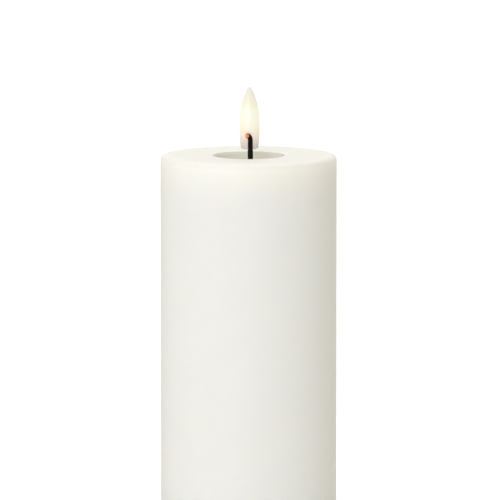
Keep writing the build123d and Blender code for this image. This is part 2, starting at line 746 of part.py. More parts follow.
# ---------------------------------------------------------------- files
PARTS = (
    wax_shell, stem_bush, stem_collar, wick, wick_ember, flame_shell, flame_plug, flame_led, led_leads,
    base_plate, rubber_feet, base_screws, core_insert, battery_cover, cover_screw, screw_retainer,
    battery_a, battery_b, positive_contact, negative_contact, negative_spring, bridge_plate, bridge_spring,
    control_board, driver_chip, timer_crystal, board_capacitor, board_resistors, switch_can, switch_back,
    switch_pins, switch_lever, switch_wiper, led_wire_red, led_wire_black, heat_shrink_sleeves,
    battery_wire_red, battery_wire_black,
)

os.makedirs("parts", exist_ok=True)
for make in PARTS:
    export_step(make(), os.path.join("parts", make.__name__ + ".step"))
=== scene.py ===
"""Looks of a flameless LED pillar candle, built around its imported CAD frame.

Everything is made in metres in the frame's own coordinates: +Z is up, the table is at z = 0, and the wick
stands on the -Y side of the flame. Sizes inside the classes are written in millimetres times MM.
"""

import json
import logging
import math
from dataclasses import dataclass, field
from enum import Enum
from typing import Callable, Iterable, List, Optional, Sequence, Tuple

import bmesh
import bpy
from mathutils import Matrix, Vector

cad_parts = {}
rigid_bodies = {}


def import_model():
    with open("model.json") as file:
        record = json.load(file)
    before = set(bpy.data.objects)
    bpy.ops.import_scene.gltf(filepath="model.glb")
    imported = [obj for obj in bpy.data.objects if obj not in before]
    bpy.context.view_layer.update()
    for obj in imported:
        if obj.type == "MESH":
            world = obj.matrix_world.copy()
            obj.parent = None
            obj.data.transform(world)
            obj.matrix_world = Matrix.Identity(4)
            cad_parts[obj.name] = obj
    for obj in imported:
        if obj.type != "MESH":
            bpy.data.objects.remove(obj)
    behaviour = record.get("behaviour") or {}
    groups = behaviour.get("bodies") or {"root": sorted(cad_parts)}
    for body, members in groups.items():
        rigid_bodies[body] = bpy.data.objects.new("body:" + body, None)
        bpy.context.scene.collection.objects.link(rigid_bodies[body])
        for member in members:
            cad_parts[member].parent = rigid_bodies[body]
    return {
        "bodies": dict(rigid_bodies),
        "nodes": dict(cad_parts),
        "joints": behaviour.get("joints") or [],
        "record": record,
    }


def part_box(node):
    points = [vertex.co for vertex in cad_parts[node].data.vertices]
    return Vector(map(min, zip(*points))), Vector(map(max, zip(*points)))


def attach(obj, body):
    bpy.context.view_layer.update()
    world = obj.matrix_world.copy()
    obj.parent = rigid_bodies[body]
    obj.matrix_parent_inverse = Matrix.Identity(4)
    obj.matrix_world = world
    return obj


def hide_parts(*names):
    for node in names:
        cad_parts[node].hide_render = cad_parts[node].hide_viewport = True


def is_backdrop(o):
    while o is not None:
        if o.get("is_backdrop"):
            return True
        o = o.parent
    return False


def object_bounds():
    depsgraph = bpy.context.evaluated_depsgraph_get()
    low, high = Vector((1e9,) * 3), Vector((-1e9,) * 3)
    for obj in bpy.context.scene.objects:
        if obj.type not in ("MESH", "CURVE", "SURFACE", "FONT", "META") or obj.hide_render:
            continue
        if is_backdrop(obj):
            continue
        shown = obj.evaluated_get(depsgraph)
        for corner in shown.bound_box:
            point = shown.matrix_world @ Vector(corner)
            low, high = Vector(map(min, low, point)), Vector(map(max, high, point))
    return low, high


LOG = logging.getLogger("candle")
MM = 0.001
SCUFF_DULLING = 0.2
NEAR = 0.01 * MM
WELD = 0.001 * MM
SLIVER = 0.004 * MM
Colour = Tuple[float, float, float]
Point = Tuple[float, float, float]
Place = Tuple[float, float]
Piece = bpy.types.Object
Socket = bpy.types.NodeSocket


# ------------------------------------------------------------------------------------------ modelling
@dataclass(frozen=True)
class Ring:
    """One station of a turned shape: its radius, its height and how its corner is rounded."""

    radius: float
    height: float
    round: float = 0.0
    steps: int = 5


class Workbench:
    """The modelling moves that every sub-assembly uses, made with Blender's own operators."""

    COIL_STEPS = 28
    FLAT_TURNS = 0.8
    END_LEAD = 0.62

    @staticmethod
    def clear() -> None:
        """Leaves edit mode and deselects everything."""
        if bpy.context.object is not None and bpy.context.object.mode != "OBJECT":
            bpy.ops.object.mode_set(mode="OBJECT")
        bpy.ops.object.select_all(action="DESELECT")

    @classmethod
    def activate(cls, piece: Piece) -> None:
        """Makes one piece the only selected and the active one.

        Args:
            piece: The piece to work on.
        """
        cls.clear()
        piece.select_set(True)
        bpy.context.view_layer.objects.active = piece

    @classmethod
    def edit(cls, piece: Piece) -> None:
        """Opens a piece in edit mode, in edge mode, with all of it selected.

        Args:
            piece: The piece to work on.
        """
        cls.activate(piece)
        bpy.ops.object.mode_set(mode="EDIT")
        bpy.ops.mesh.select_mode(type="EDGE")
        bpy.ops.mesh.select_all(action="SELECT")

    @staticmethod
    def pick_edges(piece: Piece, test: Callable[[bmesh.types.BMEdge], bool]) -> int:
        """Selects the edges that pass a test, in edit mode.

        Args:
            piece: The object in edit mode.
            test: Says whether an edge is wanted.

        Returns:
            How many edges are selected.
        """
        mesh = bmesh.from_edit_mesh(piece.data)
        for part in (mesh.verts, mesh.edges, mesh.faces):
            for element in part:
                element.select = False
        wanted = [edge for edge in mesh.edges if test(edge)]
        for edge in wanted:
            edge.select_set(True)
        bmesh.update_edit_mesh(piece.data)
        return len(wanted)

    @staticmethod
    def new_piece(name: str) -> Piece:
        """Names the primitive that was just added and returns it.

        Args:
            name: Its name.

        Returns:
            The piece.
        """
        piece = bpy.context.object
        piece.name = name
        piece.data.name = name
        return piece

    @classmethod
    def turn(cls, name: str, rings: Sequence[Ring], centre: Place = (0.0, 0.0),
             segments: int = 96, hollow: bool = False) -> Piece:
        """Extrudes a circle from ring to ring, as a lathe would cut it, and rounds its corners.

        Args:
            name: The piece's name.
            rings: Stations from the first to the last. A radius of 0 is a pole, and a first pole lies at
                the height of the second station.
            centre: Where the turning axis stands.
            segments: How many sides the circle has.
            hollow: Joins the last ring to the first, for a shape with a hole through it.

        Returns:
            The closed piece.
        """
        cls.clear()
        start = 1 if rings[0].radius == 0 else 0
        bpy.ops.mesh.primitive_circle_add(vertices=segments, radius=rings[start].radius,
                                          fill_type="TRIFAN" if start else "NOTHING")
        piece = cls.new_piece(name)
        cls.edit(piece)
        bpy.ops.transform.translate(value=(centre[0], centre[1], rings[start].height))
        cls.pick_edges(piece, lambda edge: len(edge.link_faces) < 2)
        last = rings[start]
        for ring in list(rings[start + 1:]) + ([rings[0]] if hollow else []):
            rise = (0.0, 0.0, ring.height - last.height)
            bpy.ops.mesh.extrude_region_move(TRANSFORM_OT_translate={"value": rise})
            if ring.radius == 0:
                bpy.ops.mesh.merge(type="CENTER")
            elif abs(ring.radius - last.radius) > 1e-9:
                share = ring.radius / last.radius
                bpy.ops.transform.resize(value=(share, share, 1.0),
                                         center_override=(centre[0], centre[1], ring.height))
            last = ring
        if hollow:
            bpy.ops.mesh.select_all(action="SELECT")
            bpy.ops.mesh.remove_doubles(threshold=WELD)
        elif last.radius > 0:
            bpy.ops.mesh.edge_face_add()
        cls.face_outwards()
        for ring in rings:
            if ring.round > 0:
                cls.round_ring(piece, ring, centre)
        bpy.ops.object.mode_set(mode="OBJECT")
        return piece

    @staticmethod
    def face_outwards() -> None:
        """Turns every face of the piece in edit mode outwards."""
        bpy.ops.mesh.select_all(action="SELECT")
        bpy.ops.mesh.normals_make_consistent(inside=False)

    @classmethod
    def round_ring(cls, piece: Piece, ring: Ring, centre: Place) -> None:
        """Bevels the corner that runs round one ring of a turned piece.

        Args:
            piece: The piece to work on.
            ring: The ring whose corner is rounded.
            centre: Where the turning axis stands.
        """

        def on_ring(edge: bmesh.types.BMEdge) -> bool:
            return all(
                abs(math.hypot(v.co.x - centre[0], v.co.y - centre[1]) - ring.radius) < NEAR
                and abs(v.co.z - ring.height) < NEAR for v in edge.verts
            )

        cls.pick_edges(piece, on_ring)
        bpy.ops.mesh.bevel(offset=ring.round, offset_type="OFFSET", segments=ring.steps, affect="EDGES",
                           clamp_overlap=False)

    @classmethod
    def block(cls, name: str, low: Point, high: Point, rounding: float = 0.0, steps: int = 3,
              upright_only: bool = False) -> Piece:
        """A bar between two corners, with rounded edges.

        Args:
            name: The piece's name.
            low: Its lowest corner.
            high: Its highest corner.
            rounding: Radius of the edges.
            steps: Bevel segments of each edge.
            upright_only: Rounds only the four upright edges.

        Returns:
            The closed piece.
        """
        cls.clear()
        bpy.ops.mesh.primitive_cube_add(size=1.0)
        piece = cls.new_piece(name)
        cls.edit(piece)
        bpy.ops.transform.resize(value=[b - a for a, b in zip(low, high)], center_override=(0, 0, 0))
        bpy.ops.transform.translate(value=[(a + b) / 2 for a, b in zip(low, high)])
        if rounding > 0:
            cls.pick_edges(piece, lambda edge: not upright_only or abs(
                edge.verts[0].co.z - edge.verts[1].co.z) > NEAR)
            bpy.ops.mesh.bevel(offset=rounding, segments=steps, affect="EDGES", clamp_overlap=True)
        bpy.ops.object.mode_set(mode="OBJECT")
        return piece

    @classmethod
    def drill(cls, radius: float, mouth: float, end: float, centre: Place, bevel: float = 0.0,
              segments: int = 64) -> Piece:
        """A cutter for a round hole that opens downwards.

        Args:
            radius: The hole's radius.
            mouth: Height of the surface that it opens in.
            end: Height of its closed end.
            centre: Where it stands.
            bevel: Width of the chamfer round its mouth.
            segments: How many sides it has.

        Returns:
            The cutter.
        """
        low = mouth - 1.0 * MM
        rings = [Ring(0, low), Ring(radius + bevel, low), Ring(radius + bevel, mouth),
                 Ring(radius, mouth + bevel), Ring(radius, end), Ring(0, end)]
        return cls.turn("drill", rings if bevel else rings[:2] + rings[4:], centre, segments)

    @classmethod
    def coil(cls, name: str, centre: Place, low: float, high: float, radius: float, wire: float,
             turns: float) -> Piece:
        """A compression spring of round wire with its end turns lying flat.

        Args:
            name: The piece's name.
            centre: Where its axis stands.
            low: Height of its lower end.
            high: Height of its upper end.
            radius: Radius of the wire's middle line.
            wire: The wire's diameter.
            turns: How many turns it has in all.

        Returns:
            The spring as a closed mesh.
        """
        cls.clear()
        count = int(turns * cls.COIL_STEPS)
        curve = bpy.data.curves.new(name, "CURVE")
        curve.dimensions = "3D"
        curve.bevel_depth = wire / 2
        curve.bevel_resolution = 3
        curve.use_fill_caps = True
        line = curve.splines.new("POLY")
        line.points.add(count)
        flat = cls.FLAT_TURNS / turns
        lead = wire * cls.END_LEAD
        for step in range(count + 1):
            share = step / count
            rise = min(max((share - flat) / (1 - 2 * flat), 0.0), 1.0)
            lift = wire / 2 + (high - low - wire) * (0.5 * rise + 0.5 * rise * rise * (3 - 2 * rise))
            ends = lead * (min(share, flat) / flat - max(share - 1 + flat, 0.0) / flat) - lead
            lift += ends + lead * (1 - rise)
            angle = 2 * math.pi * turns * share
            line.points[step].co = (centre[0] + radius * math.cos(angle), centre[1] + radius * math.sin(angle),
                                    low + max(lift, wire / 2), 1.0)
        piece = bpy.data.objects.new(name, curve)
        bpy.context.scene.collection.objects.link(piece)
        cls.activate(piece)
        bpy.ops.object.convert(target="MESH")
        piece = cls.new_piece(name)
        cls.edit(piece)
        bpy.ops.mesh.remove_doubles(threshold=WELD)
        cls.face_outwards()
        bpy.ops.object.mode_set(mode="OBJECT")
        return cls.smooth(piece, 40)

    @classmethod
    def carve(cls, piece: Piece, *cutters: Piece, operation: str = "DIFFERENCE") -> None:
        """Cuts pieces out of another one, or joins them to it, and removes them."""
        for cutter in cutters:
            cls.activate(piece)
            modifier = piece.modifiers.new("carve", "BOOLEAN")
            modifier.operation = operation
            modifier.solver = "EXACT"
            modifier.object = cutter
            bpy.ops.object.modifier_apply(modifier=modifier.name)
            bpy.data.objects.remove(cutter)

    @classmethod
    def tidy(cls, piece: Piece) -> None:
        """Merges the slivers that cutting leaves, splits its faces in triangles and closes pinholes.

        Args:
            piece: The piece to work on.
        """
        cls.edit(piece)
        bpy.ops.mesh.remove_doubles(threshold=SLIVER)
        bpy.ops.mesh.dissolve_degenerate(threshold=SLIVER)
        bpy.ops.mesh.quads_convert_to_tris(quad_method="BEAUTY", ngon_method="BEAUTY")
        bpy.ops.mesh.select_all(action="SELECT")
        bpy.ops.mesh.dissolve_degenerate(threshold=SLIVER)
        bpy.ops.mesh.select_all(action="SELECT")
        bpy.ops.mesh.fill_holes(sides=4)
        cls.face_outwards()
        bpy.ops.object.mode_set(mode="OBJECT")

    @classmethod
    def modify(cls, piece: Piece, kind: str, **settings: object) -> None:
        """Adds a modifier with the given settings and applies it.

        Args:
            piece: The piece to work on.
            kind: The modifier's type.
            settings: The modifier's own properties.
        """
        cls.activate(piece)
        modifier = piece.modifiers.new(kind.lower(), kind)
        for key, value in settings.items():
            setattr(modifier, key, value)
        bpy.ops.object.modifier_apply(modifier=modifier.name)

    @classmethod
    def soften(cls, piece: Piece, width: float, segments: int = 2, angle: float = 35.0) -> None:
        """Rounds every sharp edge of a piece a little."""
        cls.modify(piece, "BEVEL", width=width, segments=segments, limit_method="ANGLE",
                   angle_limit=math.radians(angle), use_clamp_overlap=True)

    @classmethod
    def join(cls, name: str, pieces: Sequence[Piece]) -> Piece:
        """Makes one object of several and gives it a name.

        Args:
            name: Its name.
            pieces: The pieces. The first takes in the others.

        Returns:
            The joined piece.
        """
        cls.activate(pieces[0])
        for piece in pieces[1:]:
            piece.select_set(True)
        bpy.ops.object.join()
        return cls.new_piece(name)

    @classmethod
    def copy(cls, piece: Piece, move: Point) -> Piece:
        """A copy with its own mesh, moved in its mesh.

        Args:
            piece: The piece to work on.
            move: How far the copy is moved.

        Returns:
            The copy.
        """
        twin = piece.copy()
        twin.data = piece.data.copy()
        bpy.context.scene.collection.objects.link(twin)
        twin.data.transform(Matrix.Translation(move))
        return twin

    @classmethod
    def settle(cls, piece: Piece, matrix: Matrix) -> Piece:
        """Puts a piece in place and applies that to its mesh, so that its object sits at the origin.

        Args:
            piece: The piece to work on.
            matrix: Where it goes.

        Returns:
            The same piece.
        """
        cls.activate(piece)
        piece.matrix_world = matrix
        bpy.ops.object.transform_apply(location=True, rotation=True, scale=True)
        return piece

    @classmethod
    def smooth(cls, piece: Piece, angle: float = 32.0) -> Piece:
        """Shades a piece smooth wherever its faces meet at less than an angle, in degrees.

        Args:
            piece: The piece to work on.
            angle: The angle.

        Returns:
            The same piece.
        """
        cls.activate(piece)
        bpy.ops.object.shade_smooth_by_angle(angle=math.radians(angle))
        return piece


# ------------------------------------------------------------------------------------------ finishes
class NodeSheet:
    """A node tree with short calls that add and link its nodes."""

    def __init__(self, tree: bpy.types.NodeTree) -> None:
        """Keeps the tree that the nodes go in."""
        self.tree = tree

    def add(self, kind: str, sockets: Optional[dict] = None, **settings: object) -> bpy.types.Node:
        """Adds a node.

        Args:
            kind: The node's type.
            sockets: Input names or numbers with a value or the output that feeds them.
            settings: The node's own properties.

        Returns:
            The node.
        """
        node = self.tree.nodes.new(kind)
        for key, value in settings.items():
            setattr(node, key, value)
        for key, value in (sockets or {}).items():
            if isinstance(value, Socket):
                self.tree.links.new(value, node.inputs[key])
            else:
                node.inputs[key].default_value = value
        return node

    def math(self, operation: str, *values: object) -> Socket:
        """One step of arithmetic on numbers or outputs."""
        return self.add("ShaderNodeMath", dict(enumerate(values)), operation=operation).outputs[0]

    def spread(self, value: object, low: float, high: float, to_low: float = 0.0,
               to_high: float = 1.0) -> Socket:
        """Maps a range of a value onto another range, smoothly and without passing its ends."""
        return self.add("ShaderNodeMapRange", {"Value": value, "From Min": low, "From Max": high,
                                               "To Min": to_low, "To Max": to_high},
                        interpolation_type="SMOOTHSTEP").outputs[0]

    def mix(self, share: object, first: object, second: object, blend: str = "MIX") -> Socket:
        """Mixes two colours."""
        node = self.add("ShaderNodeMix", {0: share, 6: first, 7: second}, data_type="RGBA", blend_type=blend)
        return node.outputs[2]

    def ramp(self, value: object, stops: Sequence[Tuple[float, Colour]],
             interpolation: str = "LINEAR") -> Socket:
        """A colour ramp with the given stops.

        Args:
            value: The number or the output that drives the ramp.
            stops: Places from 0 to 1 with their colours.
            interpolation: How a colour between two stops is found.

        Returns:
            The ramp's colour.
        """
        node = self.add("ShaderNodeValToRGB", {0: value})
        node.color_ramp.interpolation = interpolation
        elements = node.color_ramp.elements
        while len(elements) < len(stops):
            elements.new(0.5)
        for element, (place, colour) in zip(elements, stops):
            element.position = place
            element.color = (*colour, 1.0)
        return node.outputs[0]

    def group(self, tree: bpy.types.NodeTree, sockets: dict) -> Tuple[Socket, ...]:
        """Places a shared group and returns its outputs."""
        return tuple(self.add("ShaderNodeGroup", sockets, node_tree=tree).outputs)

    def place(self) -> Socket:
        """The point on the surface, in the object's own metres."""
        return self.add("ShaderNodeTexCoord").outputs["Object"]

    def height(self) -> Socket:
        """How high the point on the surface lies."""
        return self.add("ShaderNodeSeparateXYZ", {0: self.place()}).outputs["Z"]

    def distance(self, centre: Point) -> Socket:
        """How far the point on the surface lies from a centre."""
        return self.add("ShaderNodeVectorMath", {0: self.place(), 1: centre}, operation="DISTANCE").outputs[1]

    def noise(self, scale: object, detail: float = 3.0, vector: Optional[Socket] = None,
              roughness: float = 0.5) -> Socket:
        """Smooth noise from 0 to 1, with a scale in cycles per metre."""
        return self.add("ShaderNodeTexNoise", {"Vector": vector or self.place(), "Scale": scale,
                                               "Detail": detail, "Roughness": roughness}).outputs[0]


class SharedNodes:
    """The node groups that several materials use, each built once."""

    @staticmethod
    def _start(name: str, inputs: Sequence[Tuple[str, str, object]],
               outputs: Sequence[Tuple[str, str]]) -> Tuple[bpy.types.NodeTree, NodeSheet]:
        """Makes an empty group with its sockets.

        Args:
            name: Its name.
            inputs: Label, kind and default value of each input.
            outputs: Label and kind of each output.

        Returns:
            The group, and a sheet for its nodes.
        """
        tree = bpy.data.node_groups.new(name, "ShaderNodeTree")
        for label, kind, value in inputs:
            socket = tree.interface.new_socket(name=label, in_out="INPUT", socket_type="NodeSocket" + kind)
            socket.default_value = value
        for label, kind in outputs:
            tree.interface.new_socket(name=label, in_out="OUTPUT", socket_type="NodeSocket" + kind)
        return tree, NodeSheet(tree)

    @classmethod
    def grain(cls) -> bpy.types.NodeTree:
        """Uneven colour, uneven gloss and a fine relief, as on anything moulded, cast or rolled.

        Returns:
            The group.
        """
        if "surface grain" in bpy.data.node_groups:
            return bpy.data.node_groups["surface grain"]
        tree, sheet = cls._start(
            "surface grain",
            [("Colour", "Color", (0.8, 0.8, 0.8, 1.0)), ("Shade", "Float", 0.1), ("Scale", "Float", 100.0),
             ("Fine Scale", "Float", 2500.0), ("Roughness", "Float", 0.5), ("Spread", "Float", 0.1),
             ("Stretch", "Vector", (1.0, 1.0, 1.0))],
            [("Colour", "Color"), ("Roughness", "Float"), ("Height", "Float")],
        )
        given = sheet.add("NodeGroupInput").outputs
        point = sheet.add("ShaderNodeMapping", {"Vector": sheet.place(), "Scale": given["Stretch"]}).outputs[0]
        cloud = sheet.noise(given["Scale"], 4.0, point, 0.6)
        fine = sheet.noise(given["Fine Scale"], 2.0, point, 0.5)
        share = sheet.math("MULTIPLY", sheet.spread(cloud, 0.3, 0.7), given["Shade"])
        toned = sheet.mix(share, given["Colour"], (0.12, 0.11, 0.10, 1.0))
        centred = sheet.math("SUBTRACT", cloud, 0.5)
        rough = sheet.math("ADD", given["Roughness"], sheet.math("MULTIPLY", centred, given["Spread"]))
        sheet.add("NodeGroupOutput", {"Colour": toned, "Roughness": rough, "Height": fine})
        return tree

    @classmethod
    def scuffs(cls) -> bpy.types.NodeTree:
        """A mask of thin handling scratches that run every way.

        Returns:
            The group.
        """
        if "handling scuffs" in bpy.data.node_groups:
            return bpy.data.node_groups["handling scuffs"]
        tree, sheet = cls._start("handling scuffs", [("Scale", "Float", 60.0), ("Amount", "Float", 0.5)],
                                 [("Mask", "Float")])
        given = sheet.add("NodeGroupInput").outputs
        total: object = 0.0
        for turn, stretch in ((0.5, (1.0, 26.0, 4.0)), (1.9, (22.0, 1.0, 5.0)), (2.6, (1.0, 18.0, 9.0))):
            point = sheet.add("ShaderNodeMapping", {"Vector": sheet.place(), "Rotation": (0.3, 0.2, turn),
                                                    "Scale": stretch}).outputs[0]
            streak = sheet.noise(given["Scale"], 1.0, point)
            total = sheet.math("ADD", total, sheet.spread(streak, 0.66, 0.72))
        sheet.add("NodeGroupOutput", {"Mask": sheet.math("MULTIPLY", total, given["Amount"])})
        return tree


class Grain(Enum):
    """How a surface was made: coarse scale, fine scale and stretch of its unevenness."""

    CAST = (45.0, 900.0, (1.0, 1.0, 1.0))
    MOULDED = (110.0, 4200.0, (1.0, 1.0, 1.0))
    SPARKED = (160.0, 1900.0, (1.0, 1.0, 1.0))
    ROLLED = (500.0, 1600.0, (1.0, 0.08, 1.0))
    TURNED = (700.0, 2600.0, (1.0, 1.0, 0.10))


@dataclass(frozen=True)
class Finish:
    """A plain finish: colour, gloss and grain, with light scuffs."""

    name: str
    colour: Colour
    roughness: float
    grain: Grain = Grain.MOULDED
    shade: float = 0.06
    spread: float = 0.16
    relief: float = 0.02 * MM
    metallic: float = 0.0
    coat: float = 0.0
    specular: float = 0.5
    scuffs: float = 0.25

    def surface(self, sheet: NodeSheet) -> Tuple[object, object, object]:
        """Colour, roughness and height over the surface.

        Args:
            sheet: The material's nodes.

        Returns:
            Three outputs that feed the shader.
        """
        colour, rough, height = self.grained(sheet, (*self.colour, 1.0))
        scuffs = sheet.group(SharedNodes.scuffs(), {"Scale": self.grain.value[0] * 2, "Amount": self.scuffs})
        return colour, sheet.math("ADD", rough, sheet.math("MULTIPLY", scuffs[0], SCUFF_DULLING)), height

    def grained(self, sheet: NodeSheet, colour: object) -> Tuple[Socket, ...]:
        """Places the shared grain with this finish's own values.

        Args:
            sheet: The material's nodes.
            colour: A colour, or the output that feeds it.

        Returns:
            Outputs for colour, roughness and height.
        """
        coarse, fine, stretch = self.grain.value
        return sheet.group(SharedNodes.grain(), {
            "Colour": colour, "Shade": self.shade, "Scale": coarse, "Fine Scale": fine,
            "Roughness": self.roughness, "Spread": self.spread, "Stretch": stretch})

    @staticmethod
    def glow(sheet: NodeSheet, shader: bpy.types.Node, colour: Socket) -> None:
        """Lets the surface give off light of a colour."""
        sheet.tree.links.new(colour, shader.inputs["Emission Color"])
        shader.inputs["Emission Strength"].default_value = 1.0

    def constants(self) -> dict:
        """Values that are the same all over the surface."""
        return {"Metallic": self.metallic, "Coat Weight": self.coat, "Specular IOR Level": self.specular}

    def extras(self, sheet: NodeSheet, shader: bpy.types.Node) -> None:
        """Adds what only a special finish has."""

    def material(self) -> bpy.types.Material:
        """The finished material, built the first time that it is asked for.

        Returns:
            The material.
        """
        if self.name in bpy.data.materials:
            return bpy.data.materials[self.name]
        material = bpy.data.materials.new(self.name)
        material.use_nodes = True
        material.node_tree.nodes.clear()
        sheet = NodeSheet(material.node_tree)
        colour, rough, height = self.surface(sheet)
        bump = sheet.add("ShaderNodeBump", {"Height": height, "Distance": self.relief, "Strength": 1.0})
        shader = sheet.add("ShaderNodeBsdfPrincipled", {"Base Color": colour, "Roughness": rough,
                                                        "Normal": bump.outputs[0], **self.constants()})
        self.extras(sheet, shader)
        sheet.add("ShaderNodeOutputMaterial", {"Surface": shader.outputs[0]})
        return material


@dataclass(frozen=True)
class WaxFinish(Finish):
    """Paraffin wax: light goes some millimetres in, and the skin is faintly mottled; shade is painted into the
    sunken well and round the rim's edge.
    """

    depth: float = 9.0 * MM
    rim: float = 0.0
    well_radius: float = 15.0 * MM
    well_depth: float = 9.0 * MM
    # Painted shade for the well: colours multiplied into the wax by depth below the rim.
    well_lip_painted_shade: Colour = (0.70, 0.705, 0.695)
    well_mid_painted_shade: Colour = (0.96, 0.95, 0.92)
    well_floor_painted_shade: Colour = (1.0, 0.965, 0.88)
    edge_radius: float = 37.5 * MM
    # Painted shade for the rim's rounded edge: about 5 percent darker.
    rim_edge_painted_shade: Colour = (0.95, 0.95, 0.94)

    def surface(self, sheet: NodeSheet) -> Tuple[object, object, object]:
        """The usual grain, with shade painted into the colour: darker by depth just under the well's lip, less
        so further down, warm-tinted towards the well's floor, and a little darker round the rim's rounded edge.

        Args:
            sheet: The material's nodes.

        Returns:
            Outputs for colour, roughness and height.
        """
        colour, rough, height = super().surface(sheet)
        place = sheet.add("ShaderNodeSeparateXYZ", {0: sheet.place()}).outputs
        flat = sheet.add("ShaderNodeCombineXYZ", {0: place["X"], 1: place["Y"]}).outputs[0]
        reach = sheet.add("ShaderNodeVectorMath", {0: flat}, operation="LENGTH").outputs[1]
        # Painted shade: the well's wall is darkened by depth just under its lip and tinted warm further down,
        # in the colour and not by light.
        inside = sheet.spread(reach, self.well_radius + 0.5 * MM, self.well_radius + 0.3 * MM)
        sunk = sheet.math("DIVIDE", sheet.math("SUBTRACT", self.rim, place["Z"]), self.well_depth)
        painted_well_shade = sheet.ramp(sunk, [(0.002, (1.0, 1.0, 1.0)), (0.028, self.well_lip_painted_shade),
                                 (0.5, self.well_mid_painted_shade), (1.0, self.well_floor_painted_shade)])
        colour = sheet.mix(inside, colour, painted_well_shade, "MULTIPLY")
        # Painted shade: the rounded rim's edge is darkened a little, to tone down the bright band that the
        # plain wax shows there.
        outer = sheet.spread(reach, self.edge_radius - 2.6 * MM, self.edge_radius - 1.0 * MM)
        upper = sheet.spread(place["Z"], self.rim - 2.8 * MM, self.rim - 0.9 * MM)
        edge = sheet.math("MULTIPLY", outer, upper)
        return sheet.mix(edge, colour, (*self.rim_edge_painted_shade, 1.0), "MULTIPLY"), rough, height

    def constants(self) -> dict:
        """The wax's own scattering."""
        return {**super().constants(), "Subsurface Weight": 1.0, "Subsurface Scale": self.depth,
                "Subsurface Radius": (1.0, 0.92, 0.78), "IOR": 1.43}


@dataclass(frozen=True)
class FlameFinish(Finish):
    """Frosted flame moulding: a glow that swells above the light and fades to the foot and the tip."""

    foot: float = 0.0
    height: float = 1.0
    ember: Point = (0.0, 0.0, 0.0)
    ember_reach: float = 2.6 * MM

    def extras(self, sheet: NodeSheet, shader: bpy.types.Node) -> None:
        """The glow by height, and an orange glow painted round the wick's end.

        Args:
            sheet: The material's nodes.
            shader: The material's Principled node.
        """
        share = sheet.math("DIVIDE", sheet.math("SUBTRACT", sheet.height(), self.foot), self.height)
        glow = sheet.ramp(share, [
            (0.05, (0.19, 0.165, 0.155)), (0.15, (0.34, 0.28, 0.245)), (0.22, (0.43, 0.365, 0.30)),
            (0.33, (0.465, 0.455, 0.335)), (0.46, (0.49, 0.52, 0.40)), (0.60, (0.485, 0.52, 0.415)),
            (0.71, (0.455, 0.45, 0.33)), (0.84, (0.41, 0.41, 0.345)), (1.0, (0.35, 0.37, 0.36)),
        ])
        # Painted light: orange emission added to the flame by distance from the wick's end.
        near = sheet.spread(sheet.distance(self.ember), self.ember_reach, 0.6 * MM)
        self.glow(sheet, shader, sheet.mix(near, glow, (0.30, 0.05, 0.0, 1.0)))

    def constants(self) -> dict:
        """The frosted moulding's scattering."""
        return {**super().constants(), "Subsurface Weight": 0.6, "Subsurface Scale": 2.0 * MM,
                "Subsurface Radius": (1.0, 0.8, 0.6)}


@dataclass(frozen=True)
class EmberFinish(Finish):
    """Orange plug that glows most in its middle."""

    centre: Point = (0.0, 0.0, 0.0)
    reach: float = 0.9 * MM

    def extras(self, sheet: NodeSheet, shader: bpy.types.Node) -> None:
        """The glow, which fades towards the rim."""
        share = sheet.spread(sheet.distance(self.centre), self.reach, 0.1 * MM)
        self.glow(sheet, shader, sheet.mix(share, (0.08, 0.01, 0.0, 1.0), (0.42, 0.10, 0.03, 1.0)))


@dataclass(frozen=True)
class LensFinish(Finish):
    """Water-clear moulded lens."""

    def constants(self) -> dict:
        """Clear all through."""
        return {**super().constants(), "Transmission Weight": 1.0, "IOR": 1.5}


@dataclass(frozen=True)
class JacketFinish(Finish):
    """Cell sleeve with plain bands by height."""

    low: float = 0.0
    high: float = 1.0
    upright: bool = True
    band: Colour = (0.72, 0.55, 0.24)
    line: Colour = (0.75, 0.74, 0.70)

    def surface(self, sheet: NodeSheet) -> Tuple[object, object, object]:
        """Bands of colour along the cell, over the usual grain.

        Args:
            sheet: The material's nodes.

        Returns:
            Outputs for colour, roughness and height.
        """
        start, end = (self.low, self.high) if self.upright else (self.high, self.low)
        share = sheet.math("DIVIDE", sheet.math("SUBTRACT", sheet.height(), start), end - start)
        return self.grained(sheet, sheet.ramp(share, [
            (0.0, self.colour), (0.70, self.line), (0.715, self.band), (0.93, self.line)], "CONSTANT"))


@dataclass(frozen=True)
class BoardFinish(Finish):
    """Circuit board: copper tracks that show as a lighter green under the mask."""

    pitch: float = 2.2 * MM
    track: Colour = (0.05, 0.30, 0.12)

    def surface(self, sheet: NodeSheet) -> Tuple[object, object, object]:
        """Tracks in steps across the board, over the usual grain.

        Args:
            sheet: The material's nodes.

        Returns:
            Outputs for colour, roughness and height.
        """
        across = sheet.add("ShaderNodeMapping", {"Vector": sheet.place(), "Rotation": (math.pi / 2, 0, 0)})
        tracks = sheet.add("ShaderNodeTexBrick", {
            "Vector": across.outputs[0], "Color1": (0, 0, 0, 1), "Color2": (0, 0, 0, 1), "Mortar": (1, 1, 1, 1),
            "Scale": 1.0, "Mortar Size": 0.22 * MM, "Mortar Smooth": 0.1, "Brick Width": 3.0 * self.pitch,
            "Row Height": self.pitch}).outputs[0]
        colour, rough, height = self.grained(sheet, sheet.mix(tracks, (*self.colour, 1.0), (*self.track, 1.0)))
        return colour, rough, sheet.math("ADD", height, sheet.math("MULTIPLY", tracks, 2.0))


